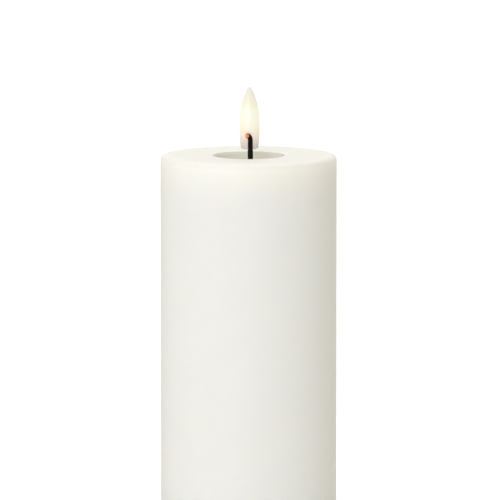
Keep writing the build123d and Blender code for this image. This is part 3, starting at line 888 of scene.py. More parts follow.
WAX = WaxFinish("ivory wax", (0.885, 0.88, 0.84), 0.50, Grain.CAST, shade=0.012, spread=0.12,
                relief=0.05 * MM, specular=0.16, rim=150.0 * MM)
WICK_BLACK = Finish("wick black", (0.006, 0.006, 0.005), 0.42, Grain.TURNED, shade=0.0, spread=0.2,
                    relief=0.03 * MM, specular=0.06, scuffs=0.0)
WHITE_MOULDING = Finish("white moulding", (0.83, 0.82, 0.77), 0.44, Grain.SPARKED, shade=0.03,
                        relief=0.025 * MM)
INSERT_MOULDING = Finish("insert moulding", (0.80, 0.79, 0.74), 0.5, Grain.MOULDED, shade=0.05)
BLACK_MOULDING = Finish("black moulding", (0.018, 0.018, 0.018), 0.4, Grain.SPARKED, shade=0.0,
                        relief=0.02 * MM)
RUBBER = Finish("grey rubber", (0.035, 0.035, 0.036), 0.82, Grain.SPARKED, shade=0.0, relief=0.05 * MM)
ZINC = Finish("zinc plating", (0.62, 0.62, 0.60), 0.30, Grain.TURNED, shade=0.12, metallic=1.0)
NICKEL = Finish("nickel plating", (0.72, 0.71, 0.68), 0.22, Grain.ROLLED, shade=0.08, metallic=1.0)
TIN = Finish("bright tin", (0.74, 0.74, 0.73), 0.28, Grain.ROLLED, shade=0.06, metallic=1.0)
BRONZE = Finish("spring bronze", (0.80, 0.56, 0.28), 0.3, Grain.ROLLED, shade=0.1, metallic=1.0)
CHIP_BLACK = Finish("moulded chip", (0.02, 0.02, 0.022), 0.55, Grain.SPARKED, shade=0.0)
SLEEVE_BLUE = Finish("capacitor sleeve", (0.02, 0.03, 0.10), 0.25, Grain.MOULDED, coat=0.4)
PHENOLIC = Finish("pressed board", (0.30, 0.15, 0.06), 0.55, Grain.ROLLED, shade=0.2)
RED_WIRE = Finish("red wire", (0.50, 0.02, 0.02), 0.35, Grain.MOULDED, coat=0.2)
BLACK_WIRE = Finish("black wire", (0.015, 0.015, 0.015), 0.35, Grain.MOULDED, coat=0.2)
SHRINK = Finish("heat-shrink sleeve", (0.02, 0.02, 0.02), 0.5, Grain.SPARKED)
BOARD = BoardFinish("circuit board", (0.012, 0.16, 0.06), 0.35, Grain.MOULDED, relief=0.03 * MM, coat=0.3)
CLEAR_LENS = LensFinish("clear lens", (0.98, 0.97, 0.93), 0.08, Grain.MOULDED, shade=0.0, spread=0.04,
                       relief=0.005 * MM, scuffs=0.05)
LEGEND_GREY = Finish("legend ink", (0.10, 0.10, 0.10), 0.5, Grain.SPARKED, shade=0.0)


class Candle:
    """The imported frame, with what every sub-assembly asks of it."""

    def __init__(self) -> None:
        """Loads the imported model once."""
        self.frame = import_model()
        self.start_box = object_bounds()

    def box(self, node: str) -> Tuple[Vector, Vector]:
        """Lowest and highest corner of a CAD node."""
        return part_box(node)

    def axis(self, node: str) -> Place:
        """Where the upright axis of a CAD node's box stands."""
        low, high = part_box(node)
        return (low.x + high.x) / 2, (low.y + high.y) / 2

    def dress(self, piece: Piece, finish: Finish, slot: str, body: str = "candle",
              nodes: Iterable[str] = ()) -> Piece:
        """Gives a new piece its finish and its body, and hides the CAD nodes that it stands for.

        Args:
            piece: The piece to work on.
            finish: Its finish.
            slot: The record's material slot; not used.
            body: The body that it rides on.
            nodes: The CAD nodes that it stands for.

        Returns:
            The same piece.
        """
        piece.data.materials.clear()
        piece.data.materials.append(finish.material())
        names = list(nodes)
        if names:
            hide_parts(*names)
        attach(piece, body)
        LOG.info("piece %s: %d faces, rides on %s", piece.name, len(piece.data.polygons), body)
        return piece

    def paint(self, node: str, finish: Finish) -> None:
        """Gives a CAD node that is shown as it is a better material.

        Args:
            node: The CAD node.
            finish: Its finish.
        """
        piece = self.frame["nodes"][node]
        if not piece.material_slots:
            piece.data.materials.append(None)
        for place in piece.material_slots:
            place.material = finish.material()
        LOG.info("node %s: %s", node, finish.name)


@dataclass
class WaxPillar:
    """The wax body: a hollow pillar with a soft rim, a sunken crater and a seat for the base plate."""

    candle: Candle
    segments: int = 144
    crater_radius: float = 15.2 * MM
    crater_floor_radius: float = 13.5 * MM
    crater_depth: float = 9.0 * MM
    hole_radius: float = 3.75 * MM
    bore_radius: float = 31.0 * MM
    seat_radius: float = 34.0 * MM
    ceiling_drop: float = 13.0 * MM
    plate_thickness: float = 3.0 * MM
    rim_round: float = 1.7 * MM
    lip_round: float = 0.3 * MM
    floor_round: float = 4.0 * MM
    foot_round: float = 0.8 * MM
    ceiling_round: float = 3.0 * MM
    unevenness: float = 0.10 * MM

    def build(self) -> None:
        """Turns the wax and puts it in place of its CAD node."""
        low, high = self.candle.box("wax_shell")
        radius, foot, rim = high.x, low.z, high.z
        ceiling, seat = rim - self.ceiling_drop, foot + self.plate_thickness
        wall = [Ring(radius, foot + (rim - foot) * step / 24) for step in range(1, 24)]
        rings = [
            Ring(self.seat_radius, foot), Ring(radius, foot, self.foot_round), *wall,
            Ring(radius, rim, self.rim_round, 8), Ring(radius - 7 * MM, rim), Ring(radius - 14 * MM, rim),
            Ring(self.crater_radius, rim, self.lip_round, 6),
            Ring(self.crater_floor_radius, rim - self.crater_depth, self.floor_round, 8),
            Ring(self.hole_radius, rim - self.crater_depth), Ring(self.hole_radius, ceiling),
            Ring(self.bore_radius, ceiling, self.ceiling_round), Ring(self.bore_radius, seat),
            Ring(self.seat_radius, seat),
        ]
        pillar = Workbench.turn("wax_pillar", rings, segments=self.segments, hollow=True)
        self.sink_unevenly(pillar)
        Workbench.smooth(pillar, 40)
        self.candle.dress(pillar, WAX, "wax", nodes=["wax_shell"])

    def sink_unevenly(self, pillar: Piece) -> None:
        """Draws the skin in a little here and there, as wax does when it sets.

        Args:
            pillar: The wax pillar.
        """
        clouds = bpy.data.textures.new("wax shrinkage", "CLOUDS")
        clouds.noise_scale = 26 * MM
        clouds.noise_depth = 1
        Workbench.modify(pillar, "DISPLACE", texture=clouds, texture_coords="LOCAL", mid_level=1.0,
                         strength=self.unevenness, direction="NORMAL")


@dataclass
class FlameAndWick:
    """The translucent flame, the black wick that holds it and the orange end of the wick."""

    candle: Candle
    outline: Sequence[Place] = (
        (3.66, 0.0), (4.24, 4.3), (4.36, 9.2), (4.24, 13.7), (3.68, 18.0), (3.12, 20.5), (2.42, 22.6),
        (1.62, 24.6), (0.85, 26.0), (0.0, 26.8))
    outline_steps: int = 5
    foot_radius: float = 3.66 * MM
    foot_round: float = 0.9 * MM
    wick_radius: float = 1.0 * MM
    stem_radius: float = 1.15 * MM
    straight: float = 4.15 * MM
    bend_radius: float = 1.94 * MM
    bend_angle: float = 86.0
    bend_heading: float = 50.0
    groove_gap: float = 0.1 * MM
    ember_radius: float = 0.85 * MM
    ember_seat: float = 0.7 * MM
    ember_dome: float = 0.35 * MM
    wick_place: Vector = field(default_factory=lambda: Vector((0.75 * MM, -1.95 * MM, 0.0)))

    def __post_init__(self) -> None:
        """Takes the places of the flame and the wick from the frame."""
        low, high = self.candle.box("flame_shell")
        self.axis = (low + high) / 2
        self.foot, self.top = low.z, high.z
        self.stem_low = self.candle.box("wick")[0].z
        heading = math.radians(self.bend_heading)
        self.lean = Vector((-math.cos(heading), -math.sin(heading), 0.0))
        self.bend_start = self.foot + self.straight
        turn = math.radians(self.bend_angle)
        across = self.lean * self.bend_radius * (1 - math.cos(turn))
        self.wick_end = Vector((self.wick_place.x, self.wick_place.y, self.bend_start)) + across
        self.wick_end.z += self.bend_radius * math.sin(turn)
        self.end_direction = self.lean * math.sin(turn) + Vector((0, 0, math.cos(turn)))

    def bent_bar(self, name: str, rings: Sequence[Ring], segments: int = 32) -> Piece:
        """An upright bar whose top end is spun over along the wick's bend, left open in edit mode.

        Args:
            name: The piece's name.
            rings: Stations of the straight stretch, from below.
            segments: How many sides the bar has.

        Returns:
            The piece, in edit mode, with the loop at its end selected.
        """
        place = self.wick_place
        bar = Workbench.turn(name, rings, (place.x, place.y), segments)
        Workbench.edit(bar)
        top = rings[-1].height
        mesh = bmesh.from_edit_mesh(bar.data)
        cap = [face for face in mesh.faces if all(abs(v.co.z - top) < NEAR for v in face.verts)]
        bmesh.ops.delete(mesh, geom=cap, context="FACES_ONLY")
        bmesh.update_edit_mesh(bar.data)
        Workbench.pick_edges(bar, lambda edge: len(edge.link_faces) == 1)
        centre = Vector((place.x, place.y, top)) + self.lean * self.bend_radius
        bpy.ops.mesh.spin(steps=12, angle=math.radians(self.bend_angle), center=centre,
                          axis=self.lean.cross(Vector((0, 0, 1))))
        return bar

    def make_wick(self) -> Piece:
        """The stem, the thinner wick above it, its bend and the socket in its end.

        Returns:
            The closed piece.
        """
        rings = [
            Ring(0, self.stem_low), Ring(self.stem_radius, self.stem_low, 0.1 * MM, 2),
            Ring(self.stem_radius, self.foot, 0.08 * MM, 2), Ring(self.wick_radius, self.foot),
            Ring(self.wick_radius, self.bend_start),
        ]
        wick = self.bent_bar("wick_and_stem", rings)
        share = self.ember_radius / self.wick_radius
        for size in (0.93, share / 0.93):
            bpy.ops.mesh.extrude_region_move(TRANSFORM_OT_translate={"value": self.end_direction * 0.04 * MM})
            bpy.ops.transform.resize(value=(size, size, size), center_override=self.wick_end)
        inwards = self.end_direction * -self.ember_seat
        bpy.ops.mesh.extrude_region_move(TRANSFORM_OT_translate={"value": inwards})
        bpy.ops.mesh.edge_face_add()
        Workbench.face_outwards()
        bpy.ops.object.mode_set(mode="OBJECT")
        return Workbench.smooth(wick, 40)

    def make_ember(self) -> Piece:
        """The orange plug, domed where it stands out of the wick.

        Returns:
            The closed piece.
        """
        steps = 6
        dome = [
            Ring(self.ember_radius * math.cos(math.pi / 2 * step / steps),
                 self.ember_dome * math.sin(math.pi / 2 * step / steps)) for step in range(steps)
        ]
        rings = [Ring(0, -self.ember_seat), Ring(self.ember_radius, -self.ember_seat), *dome,
                 Ring(0, self.ember_dome)]
        ember = Workbench.turn("ember", rings, segments=32)
        turn = self.end_direction.to_track_quat("Z", "Y").to_matrix().to_4x4()
        Workbench.settle(ember, Matrix.Translation(self.wick_end) @ turn)
        return Workbench.smooth(ember, 40)

    def smooth_outline(self) -> List[Place]:
        """Stations on a smooth curve through the outline, between the rounded foot and the tip.

        Returns:
            Radius and height of each station, in millimetres.
        """
        points = [Vector(point) for point in self.outline]
        points = [points[0], *points, Vector((-points[-2].x, points[-2].y))]
        stations = []
        for before, start, end, after in zip(points, points[1:], points[2:], points[3:]):
            for step in range(self.outline_steps):
                share = step / self.outline_steps
                bow = (start * 2 + (end - before) * share
                       + (before * 2 - start * 5 + end * 4 - after) * share ** 2
                       + (start * 3 - before - end * 3 + after) * share ** 3) / 2
                stations.append((bow.x, bow.y))
        return [station for station in stations if station[1] > self.foot_round / MM + 0.3]

    def make_flame(self) -> Piece:
        """The flame: a soft foot, a swelling body and a pointed tip, grooved for the wick.

        Returns:
            The closed piece.
        """
        side = [Ring(radius * MM, self.foot + height * MM) for radius, height in self.smooth_outline()]
        rings = [Ring(0, self.foot), Ring(self.foot_radius, self.foot, self.foot_round, 6), *side,
                 Ring(0, self.top)]
        flame = Workbench.turn("flame", rings, (self.axis.x, self.axis.y), 64)
        gap = self.wick_radius + self.groove_gap
        groove = self.bent_bar("groove", [Ring(0, self.foot - 2 * MM), Ring(gap, self.foot - 2 * MM),
                                          Ring(gap, self.bend_start)], 28)
        bpy.ops.mesh.extrude_region_move(TRANSFORM_OT_translate={"value": self.end_direction * 3 * MM})
        bpy.ops.mesh.edge_face_add()
        Workbench.face_outwards()
        bpy.ops.object.mode_set(mode="OBJECT")
        Workbench.carve(flame, groove)
        return Workbench.smooth(flame, 45)

    def build(self) -> None:
        """Makes the three pieces and dresses the small CAD nodes that belong to them."""
        glow = FlameFinish("frosted flame", (0.50, 0.46, 0.425), 0.34, Grain.CAST, shade=0.01, spread=0.05,
                           relief=0.01 * MM, foot=self.foot, height=self.top - self.foot,
                           ember=tuple(self.wick_end))
        orange = EmberFinish("ember orange", (0.70, 0.16, 0.05), 0.35, Grain.MOULDED, shade=0.05,
                             centre=tuple(self.wick_end + self.end_direction * self.ember_dome))
        self.candle.dress(self.make_flame(), glow, "flame", nodes=["flame_shell"])
        self.candle.dress(self.make_wick(), WICK_BLACK, "black_plastic", nodes=["wick"])
        self.candle.dress(self.make_ember(), orange, "ember", nodes=["wick_ember"])
        for node, finish in (("flame_plug", WHITE_MOULDING), ("flame_led", CLEAR_LENS), ("led_leads", TIN)):
            self.candle.paint(node, finish)


def around(radius: float, angle: float) -> Place:
    """The point at an angle, in degrees, on a circle round the candle's axis."""
    turn = math.radians(angle)
    return radius * math.cos(turn), radius * math.sin(turn)


class Mark(Enum):
    """What is raised beside each stop of the switch: how many bars, and whether there is a ring."""

    ON = (-5.2, 1, False)
    OFF = (0.0, 0, True)
    TIMER = (5.2, 2, True)


@dataclass
class Foot:
    """Everything under the candle that stays put: base plate, feet, screws and the switch's marks."""

    candle: Candle
    plate_radius: float = 33.75 * MM
    low: float = 0.8 * MM
    high: float = 3.8 * MM
    opening_radius: float = 18.85 * MM
    ledge_radius: float = 20.15 * MM
    ledge_high: float = 2.4 * MM
    opening_y: float = 6.0 * MM
    key_reach: float = 19.95 * MM
    key_half: float = 1.65 * MM
    switch_y: float = -22.9 * MM
    pocket_size: Place = (14.0 * MM, 7.4 * MM)
    pocket_round: float = 2.0 * MM
    pocket_depth: float = 1.2 * MM
    slot_half: Place = (3.95 * MM, 1.35 * MM)
    foot_circle: float = 28.6 * MM
    foot_radius: float = 4.5 * MM
    foot_high: float = 1.6 * MM
    foot_angles: Tuple[float, ...] = (35.0, 145.0, 230.0, 310.0)
    screw_circle: float = 28.8 * MM
    screw_angles: Tuple[float, ...] = (-15.0, 62.0, 118.0, 195.0)
    head_radius: float = 2.6 * MM
    head_low: float = 0.9 * MM
    head_high: float = 2.2 * MM
    head_gap: float = 0.3 * MM
    shank_radius: float = 1.2 * MM
    shank_high: float = 11.2 * MM
    cross_size: Place = (0.7 * MM, 3.2 * MM)
    cross_depth: float = 0.8 * MM
    mark_y: float = -29.2 * MM
    mark_radius: float = 1.25 * MM
    mark_line: float = 0.42 * MM
    mark_height: float = 0.2 * MM
    ticks: Tuple[float, ...] = (-2.0 * MM, 0.0, 2.0 * MM)
    raised_gap: float = 3.3 * MM
    raised_width: float = 0.7 * MM
    raised_height: float = 0.15 * MM
    raised_root: float = 0.3 * MM
    mouth_bevel: float = 0.15 * MM

    def make_plate(self) -> Piece:
        """The round plate with its stepped opening, switch pocket, recesses and a raised ring.

        Returns:
            The closed piece.
        """
        low, edge = self.low, 0.5 * MM
        inner = self.ledge_radius + self.raised_gap
        outer, root, crest = inner + self.raised_width, low + self.raised_root, low - self.raised_height
        rings = [
            Ring(0, low), Ring(self.plate_radius - edge, low, 0.1 * MM, 2),
            Ring(self.plate_radius, low + edge, 0.1 * MM, 2), Ring(self.plate_radius, self.high),
            Ring(0, self.high),
        ]
        plate = Workbench.turn("base_plate_moulding", rings, segments=128)
        ring = Workbench.turn("ring", [
            Ring(inner, root), Ring(inner, crest, 0.06 * MM, 2),
            Ring(outer, crest, 0.06 * MM, 2), Ring(outer, root),
        ], (0.0, self.opening_y), 128, True)
        gap = Workbench.block("gap", (-9 * MM, self.switch_y - 9 * MM, low - 1 * MM),
                              (9 * MM, self.switch_y + 12 * MM, low + 1 * MM))
        Workbench.carve(ring, gap)
        Workbench.carve(plate, ring, operation="UNION")
        x, y = self.pocket_size
        pocket = Workbench.block("pocket", (-x / 2, self.switch_y - y / 2, low - 1 * MM),
                                 (x / 2, self.switch_y + y / 2, low + self.pocket_depth),
                                 self.pocket_round, 6, True)
        half_x, half_y = self.slot_half
        slot = Workbench.block("slot", (-half_x, self.switch_y - half_y, low - 1 * MM),
                               (half_x, self.switch_y + half_y, self.high + 1 * MM), 0.25 * MM, 3, True)
        notch = Workbench.block("notch", (-self.key_reach, self.opening_y - self.key_half, self.ledge_high),
                                (self.key_reach, self.opening_y + self.key_half, self.high + 1 * MM))
        place = (0.0, self.opening_y)
        ledge = Workbench.drill(self.ledge_radius, low, self.ledge_high, place, 0.2 * MM, 112)
        opening = Workbench.drill(self.opening_radius, low, self.high + 1 * MM, place, 0.0, 112)
        Workbench.carve(plate, ledge, opening, notch, pocket, slot)
        for angle in self.foot_angles:
            Workbench.carve(plate, Workbench.drill(self.foot_radius + 0.05 * MM, low, self.foot_high,
                                                   around(self.foot_circle, angle), self.mouth_bevel, 56))
        for angle in self.screw_angles:
            place = around(self.screw_circle, angle)
            Workbench.carve(
                plate, Workbench.drill(self.head_radius + self.head_gap, low, self.head_high, place,
                                       self.mouth_bevel, 48),
                Workbench.drill(self.shank_radius + 0.1 * MM, low, self.high + 1 * MM, place, 0.0, 32))
        Workbench.tidy(plate)
        return Workbench.smooth(plate, 30)

    def make_marks(self) -> Piece:
        """A bar for on, a ring for off and a clock face for the timer, beside the switch's pocket.

        Returns:
            The marks as one piece.
        """
        low, high = self.low - self.mark_height, self.low + 0.1 * MM
        line, radius = self.mark_line / 2, self.mark_radius
        parts = []
        for mark in Mark:
            place, bars, ring = mark.value
            x = place * MM
            if ring:
                rings = [Ring(radius - line, low, 0.08 * MM, 2), Ring(radius + line, low, 0.08 * MM, 2),
                         Ring(radius + line, high), Ring(radius - line, high)]
                parts.append(Workbench.turn("ring", rings, (x, self.mark_y), 40, True))
            if bars:
                reach = radius * (1.0 if not ring else 0.72)
                start = -reach if not ring else -line * 0.8
                parts.append(Workbench.block("bar", (x - line, self.mark_y + start, low),
                                             (x + line, self.mark_y + reach, high), 0.08 * MM, 2))
            if bars > 1:
                parts.append(Workbench.block("hand", (x - line, self.mark_y - line, low + 0.01 * MM),
                                             (x + radius * 0.6, self.mark_y + line * 0.8, high), 0.07 * MM, 2))
        for place in self.ticks:
            parts.append(Workbench.block("tick", (place - 0.2 * MM, self.mark_y + 1.9 * MM, low),
                                         (place + 0.2 * MM, self.mark_y + 2.35 * MM, high), 0.08 * MM, 2))
        marks = Workbench.join("switch_marks", parts)
        return Workbench.smooth(marks, 30)

    def make_feet(self) -> Piece:
        """Four rubber pads with a rounded edge and two shallow grooves.

        Returns:
            The closed piece.
        """
        radius = self.foot_radius
        rings = [
            Ring(0, 0.12 * MM), Ring(1.1 * MM, 0.12 * MM), Ring(1.25 * MM, 0.0, 0.04 * MM, 2),
            Ring(2.5 * MM, 0.0, 0.04 * MM, 2), Ring(2.65 * MM, 0.14 * MM), Ring(2.95 * MM, 0.14 * MM),
            Ring(3.1 * MM, 0.0, 0.04 * MM, 2), Ring(radius, 0.0, 0.3 * MM, 4), Ring(radius, self.foot_high),
            Ring(0, self.foot_high),
        ]
        return self.repeat("foot_pads", rings, self.foot_circle, self.foot_angles, 56)

    def repeat(self, name: str, rings: Sequence[Ring], circle: float, angles: Sequence[float], segments: int,
               cutters: Callable[[], Sequence[Piece]] = tuple) -> Piece:
        """Turns one part on the candle's axis and copies it to every place on a circle.

        Args:
            name: Its name.
            rings: Stations of the part.
            circle: Radius of the circle that the copies stand on.
            angles: Where on the circle they stand, in degrees.
            segments: How many sides the part has.
            cutters: Makes the cutters for the first one.

        Returns:
            The copies as one piece.
        """
        first = Workbench.turn(name, rings, segments=segments)
        Workbench.carve(first, *cutters())
        Workbench.smooth(first, 32)
        copies = [Workbench.copy(first, (*around(circle, angle), 0.0)) for angle in angles]
        bpy.data.objects.remove(first)
        return Workbench.join(name, copies)

    def make_screws(self) -> Piece:
        """Four cross-head screws with ridged shanks.

        Returns:
            The closed piece.
        """
        pitch, shank, low = 0.9 * MM, self.shank_radius, self.head_high
        rings = [
            Ring(0, self.head_low), Ring(self.head_radius - 0.25 * MM, self.head_low, 0.35 * MM, 4),
            Ring(self.head_radius, self.head_low + 0.55 * MM, 0.15 * MM, 2),
            Ring(self.head_radius, low, 0.08 * MM, 2), Ring(shank * 0.85, low), Ring(shank * 0.85, low + pitch),
        ]
        height = low + pitch
        while height + pitch < self.shank_high - 1.0 * MM:
            rings += [Ring(shank, height + 0.35 * pitch), Ring(shank * 0.82, height + pitch)]
            height += pitch
        rings += [Ring(shank * 0.5, self.shank_high - 0.3 * MM), Ring(0, self.shank_high)]

        def cross() -> Sequence[Piece]:
            """The two bars that cut the cross.

            Returns:
                The two bars.
            """
            thin, long = (size / 2 for size in self.cross_size)
            top = self.head_low + self.cross_depth
            low = self.head_low - 0.5 * MM
            return [Workbench.block("bar", (-x, -y, low), (x, y, top)) for x, y in ((thin, long), (long, thin))]

        return self.repeat("plate_screws", rings, self.screw_circle, self.screw_angles, 40, cross)

    def build(self) -> None:
        """Makes the pieces under the candle."""
        for piece, finish, slot, nodes in (
                (self.make_plate(), WHITE_MOULDING, "white_plastic", ["base_plate"]),
                (self.make_marks(), LEGEND_GREY, "black_plastic", []),
                (self.make_feet(), RUBBER, "rubber", ["rubber_feet"]),
                (self.make_screws(), ZINC, "screw_steel", ["base_screws"])):
            self.candle.dress(piece, finish, slot, nodes=nodes)


@dataclass
class StemSeat:
    """The bush and the collar that hold the stem in the well's floor."""

    candle: Candle
    bore: float = 1.2 * MM
    sleeve_radius: float = 3.5 * MM
    flange: float = 1.6 * MM

    def make_bush(self) -> Piece:
        """The flanged bush, with a rounded lip and the stem's bore off its middle.

        Returns:
            The closed piece.
        """
        low, high = self.candle.box("stem_bush")
        reach = (high.x - low.x) / 2
        rings = [
            Ring(0, low.z), Ring(reach, low.z, 0.2 * MM, 3), Ring(reach, low.z + self.flange, 0.3 * MM, 3),
            Ring(self.sleeve_radius, low.z + self.flange), Ring(self.sleeve_radius, high.z, 0.3 * MM, 4),
            Ring(0, high.z),
        ]
        bush = Workbench.turn("stem_seat", rings, self.candle.axis("stem_bush"), 64)
        stem = self.candle.axis("stem_collar")
        Workbench.carve(bush, Workbench.drill(self.bore, low.z, high.z + 1 * MM, stem, 0.0, 40))
        return Workbench.smooth(bush, 35)

    def make_collar(self) -> Piece:
        """The ring pressed on the stem, with a step and a bevelled lip.

        Returns:
            The closed piece.
        """
        low, high = self.candle.box("stem_collar")
        reach = (high.x - low.x) / 2
        rings = [
            Ring(self.bore, low.z), Ring(reach * 0.88, low.z, 0.15 * MM, 3),
            Ring(reach, low.z + 0.3 * MM, 0.1 * MM, 2), Ring(reach, high.z, 0.1 * MM, 2),
            Ring(self.bore, high.z),
        ]
        collar = Workbench.turn("stem_ring", rings, self.candle.axis("stem_collar"), 48, True)
        return Workbench.smooth(collar, 35)

    def build(self) -> None:
        """Makes both rings."""
        self.candle.dress(self.make_bush(), WHITE_MOULDING, "white_plastic", nodes=["stem_bush"])
        self.candle.dress(self.make_collar(), BLACK_MOULDING, "black_plastic", nodes=["stem_collar"])


@dataclass
class SwitchLever:
    """The switch's finger piece and the slider that it moves."""

    candle: Candle
    width: float = 3.6 * MM
    depth: float = 2.4 * MM
    tip: float = 1.1 * MM
    neck_high: float = 5.05 * MM
    place: Place = (-2.0 * MM, -22.9 * MM)
    ridge_pitch: float = 0.9 * MM

    def build(self) -> None:
        """Makes the lever with rounded corners and grip grooves."""
        (x, y), half_x, half_y = self.place, self.width / 2, self.depth / 2
        low, high = self.candle.box("switch_lever")
        neck = Workbench.block("lever_piece", (x - half_x, y - half_y, self.tip),
                               (x + half_x, y + half_y, self.neck_high + 0.2 * MM), 0.22 * MM, 4)
        for step in (-1, 0, 1):
            middle = x + step * self.ridge_pitch
            groove = Workbench.block("groove", (middle - 0.2 * MM, y - self.depth, self.tip - 0.5 * MM),
                                     (middle + 0.2 * MM, y + self.depth, self.tip + 0.35 * MM), 0.12 * MM, 3)
            Workbench.carve(neck, groove)
        slider = Workbench.block("slider", (low.x, low.y, self.neck_high), (high.x, high.y, high.z),
                                 0.15 * MM, 2)
        Workbench.carve(neck, slider, operation="UNION")
        Workbench.smooth(neck, 32)
        self.candle.dress(neck, BLACK_MOULDING, "black_plastic", "switch_lever", ["switch_lever"])


@dataclass
class CoverGroup:
    """The battery cover with its captive coin screw, the strip that joins the cells and its spring."""

    candle: Candle
    centre_y: float = 6.0 * MM
    low: float = 0.9 * MM
    flange_radius: float = 20.0 * MM
    flange_high: float = 2.3 * MM
    inside: float = 2.8 * MM
    skirt_radius: float = 18.7 * MM
    skirt_wall: float = 1.6 * MM
    skirt_high: float = 6.2 * MM
    key_half: float = 1.5 * MM
    key_reach: float = 19.8 * MM
    key_low: float = 2.5 * MM
    boss_radius: float = 4.8 * MM
    boss_high: float = 5.1 * MM
    screw_y: float = -3.3 * MM
    screw_head_radius: float = 3.6 * MM
    screw_head_low: float = 1.0 * MM
    screw_head_high: float = 2.5 * MM
    head_seat: float = 2.6 * MM
    head_gap: float = 0.3 * MM
    screw_radius: float = 1.4 * MM
    screw_high: float = 13.5 * MM
    thread_pitch: float = 0.8 * MM
    slot_half: float = 0.65 * MM
    slot_depth: float = 0.9 * MM
    grip_places: Tuple[float, ...] = (10.0, 12.0, 14.0, 16.0, 18.0)
    grip_half: Place = (4.5 * MM, 0.4 * MM)
    grip_depth: float = 0.35 * MM
    rim_groove: Tuple[float, ...] = (17.6 * MM, 17.75 * MM, 18.05 * MM, 18.2 * MM)
    rim_groove_depth: float = 0.15 * MM
    wire: float = 0.7 * MM
    spring_turns: float = 5

    def make_cover(self) -> Piece:
        """The cover: rounded flange, skirt, keys, screw boss and grip grooves.

        Returns:
            The closed piece.
        """
        centre = (0.0, self.centre_y)
        inner = self.skirt_radius - self.skirt_wall
        rings = [
            Ring(0, self.low),
            *(Ring(radius, self.low + depth)
              for radius, depth in zip(self.rim_groove, (0, self.rim_groove_depth, self.rim_groove_depth, 0))),
            Ring(self.flange_radius, self.low, 0.4 * MM, 5),
            Ring(self.flange_radius, self.flange_high, 0.12 * MM, 2),
            Ring(self.skirt_radius, self.flange_high), Ring(self.skirt_radius, self.skirt_high, 0.3 * MM, 3),
            Ring(inner, self.skirt_high, 0.2 * MM, 2), Ring(inner, self.inside), Ring(0, self.inside),
        ]
        cover = Workbench.turn("battery_door", rings, centre, 128)
        for side in (-1, 1):
            ends = sorted((side * (self.skirt_radius - self.skirt_wall / 2), side * self.key_reach))
            key = Workbench.block("key", (ends[0], self.centre_y - self.key_half, self.key_low),
                                  (ends[1], self.centre_y + self.key_half, self.skirt_high - 0.05 * MM),
                                  0.25 * MM, 3)
            Workbench.carve(cover, key, operation="UNION")
        boss = Workbench.turn("boss", [
            Ring(0, self.inside - 0.3 * MM), Ring(self.boss_radius, self.inside - 0.3 * MM),
            Ring(self.boss_radius, self.boss_high, 0.25 * MM, 3), Ring(0, self.boss_high),
        ], (0.0, self.screw_y), 56)
        Workbench.carve(cover, boss, operation="UNION")
        place = (0.0, self.screw_y)
        Workbench.carve(
            cover, Workbench.drill(self.screw_head_radius + self.head_gap, self.low, self.head_seat, place,
                                   0.25 * MM, 56),
            Workbench.drill(self.screw_radius + 0.15 * MM, self.low, self.skirt_high + 1 * MM, place, 0.0, 40))
        half_x, half_y = self.grip_half
        for row in self.grip_places:
            groove = Workbench.block("groove", (-half_x, row * MM - half_y, self.low - 0.5 * MM),
                                     (half_x, row * MM + half_y, self.low + self.grip_depth), 0.3 * MM, 4)
            Workbench.carve(cover, groove)
        Workbench.tidy(cover)
        return Workbench.smooth(cover, 30)

    def make_screw(self) -> Piece:
        """Coin-slot screw with a notched edge, a plain neck and a thread.

        Returns:
            The closed piece.
        """
        shank, low = self.screw_radius, self.screw_head_high
        rings = [
            Ring(0, self.screw_head_low), Ring(self.screw_head_radius, self.screw_head_low, 0.4 * MM, 5),
            Ring(self.screw_head_radius, low, 0.1 * MM, 2), Ring(shank - 0.05 * MM, low),
            Ring(shank - 0.05 * MM, low + 3.9 * MM),
        ]
        height = low + 3.9 * MM
        while height + self.thread_pitch < self.screw_high - 0.6 * MM:
            rings += [Ring(shank, height + 0.4 * self.thread_pitch),
                      Ring(shank - 0.28 * MM, height + self.thread_pitch)]
            height += self.thread_pitch
        rings += [Ring(shank * 0.6, self.screw_high), Ring(0, self.screw_high)]
        screw = Workbench.turn("coin_screw", rings, (0.0, self.screw_y), 64)
        reach, top = self.screw_head_radius + 1 * MM, self.screw_head_low + self.slot_depth
        slot = Workbench.block("slot", (-reach, self.screw_y - self.slot_half, self.screw_head_low - 0.5 * MM),
                               (reach, self.screw_y + self.slot_half, top), 0.2 * MM, 3)
        Workbench.carve(screw, slot)
        return Workbench.smooth(screw, 30)

    def make_strip(self) -> Piece:
        """The metal strip between the cells, with a raised ring where the spring sits.

        Returns:
            The closed piece.
        """
        low, high = self.candle.box("bridge_plate")
        strip = Workbench.block("cell_bridge", tuple(low), tuple(high), 1.6 * MM, 6, True)
        Workbench.soften(strip, 0.06 * MM)
        seat = Workbench.turn("seat", [
            Ring(0, high.z - 0.1 * MM), Ring(2.5 * MM, high.z - 0.1 * MM),
            Ring(2.3 * MM, high.z + 0.5 * MM, 0.2 * MM), Ring(0, high.z + 0.5 * MM),
        ], self.candle.axis("bridge_spring"), 32)
        Workbench.carve(strip, seat, operation="UNION")
        return Workbench.smooth(strip, 30)

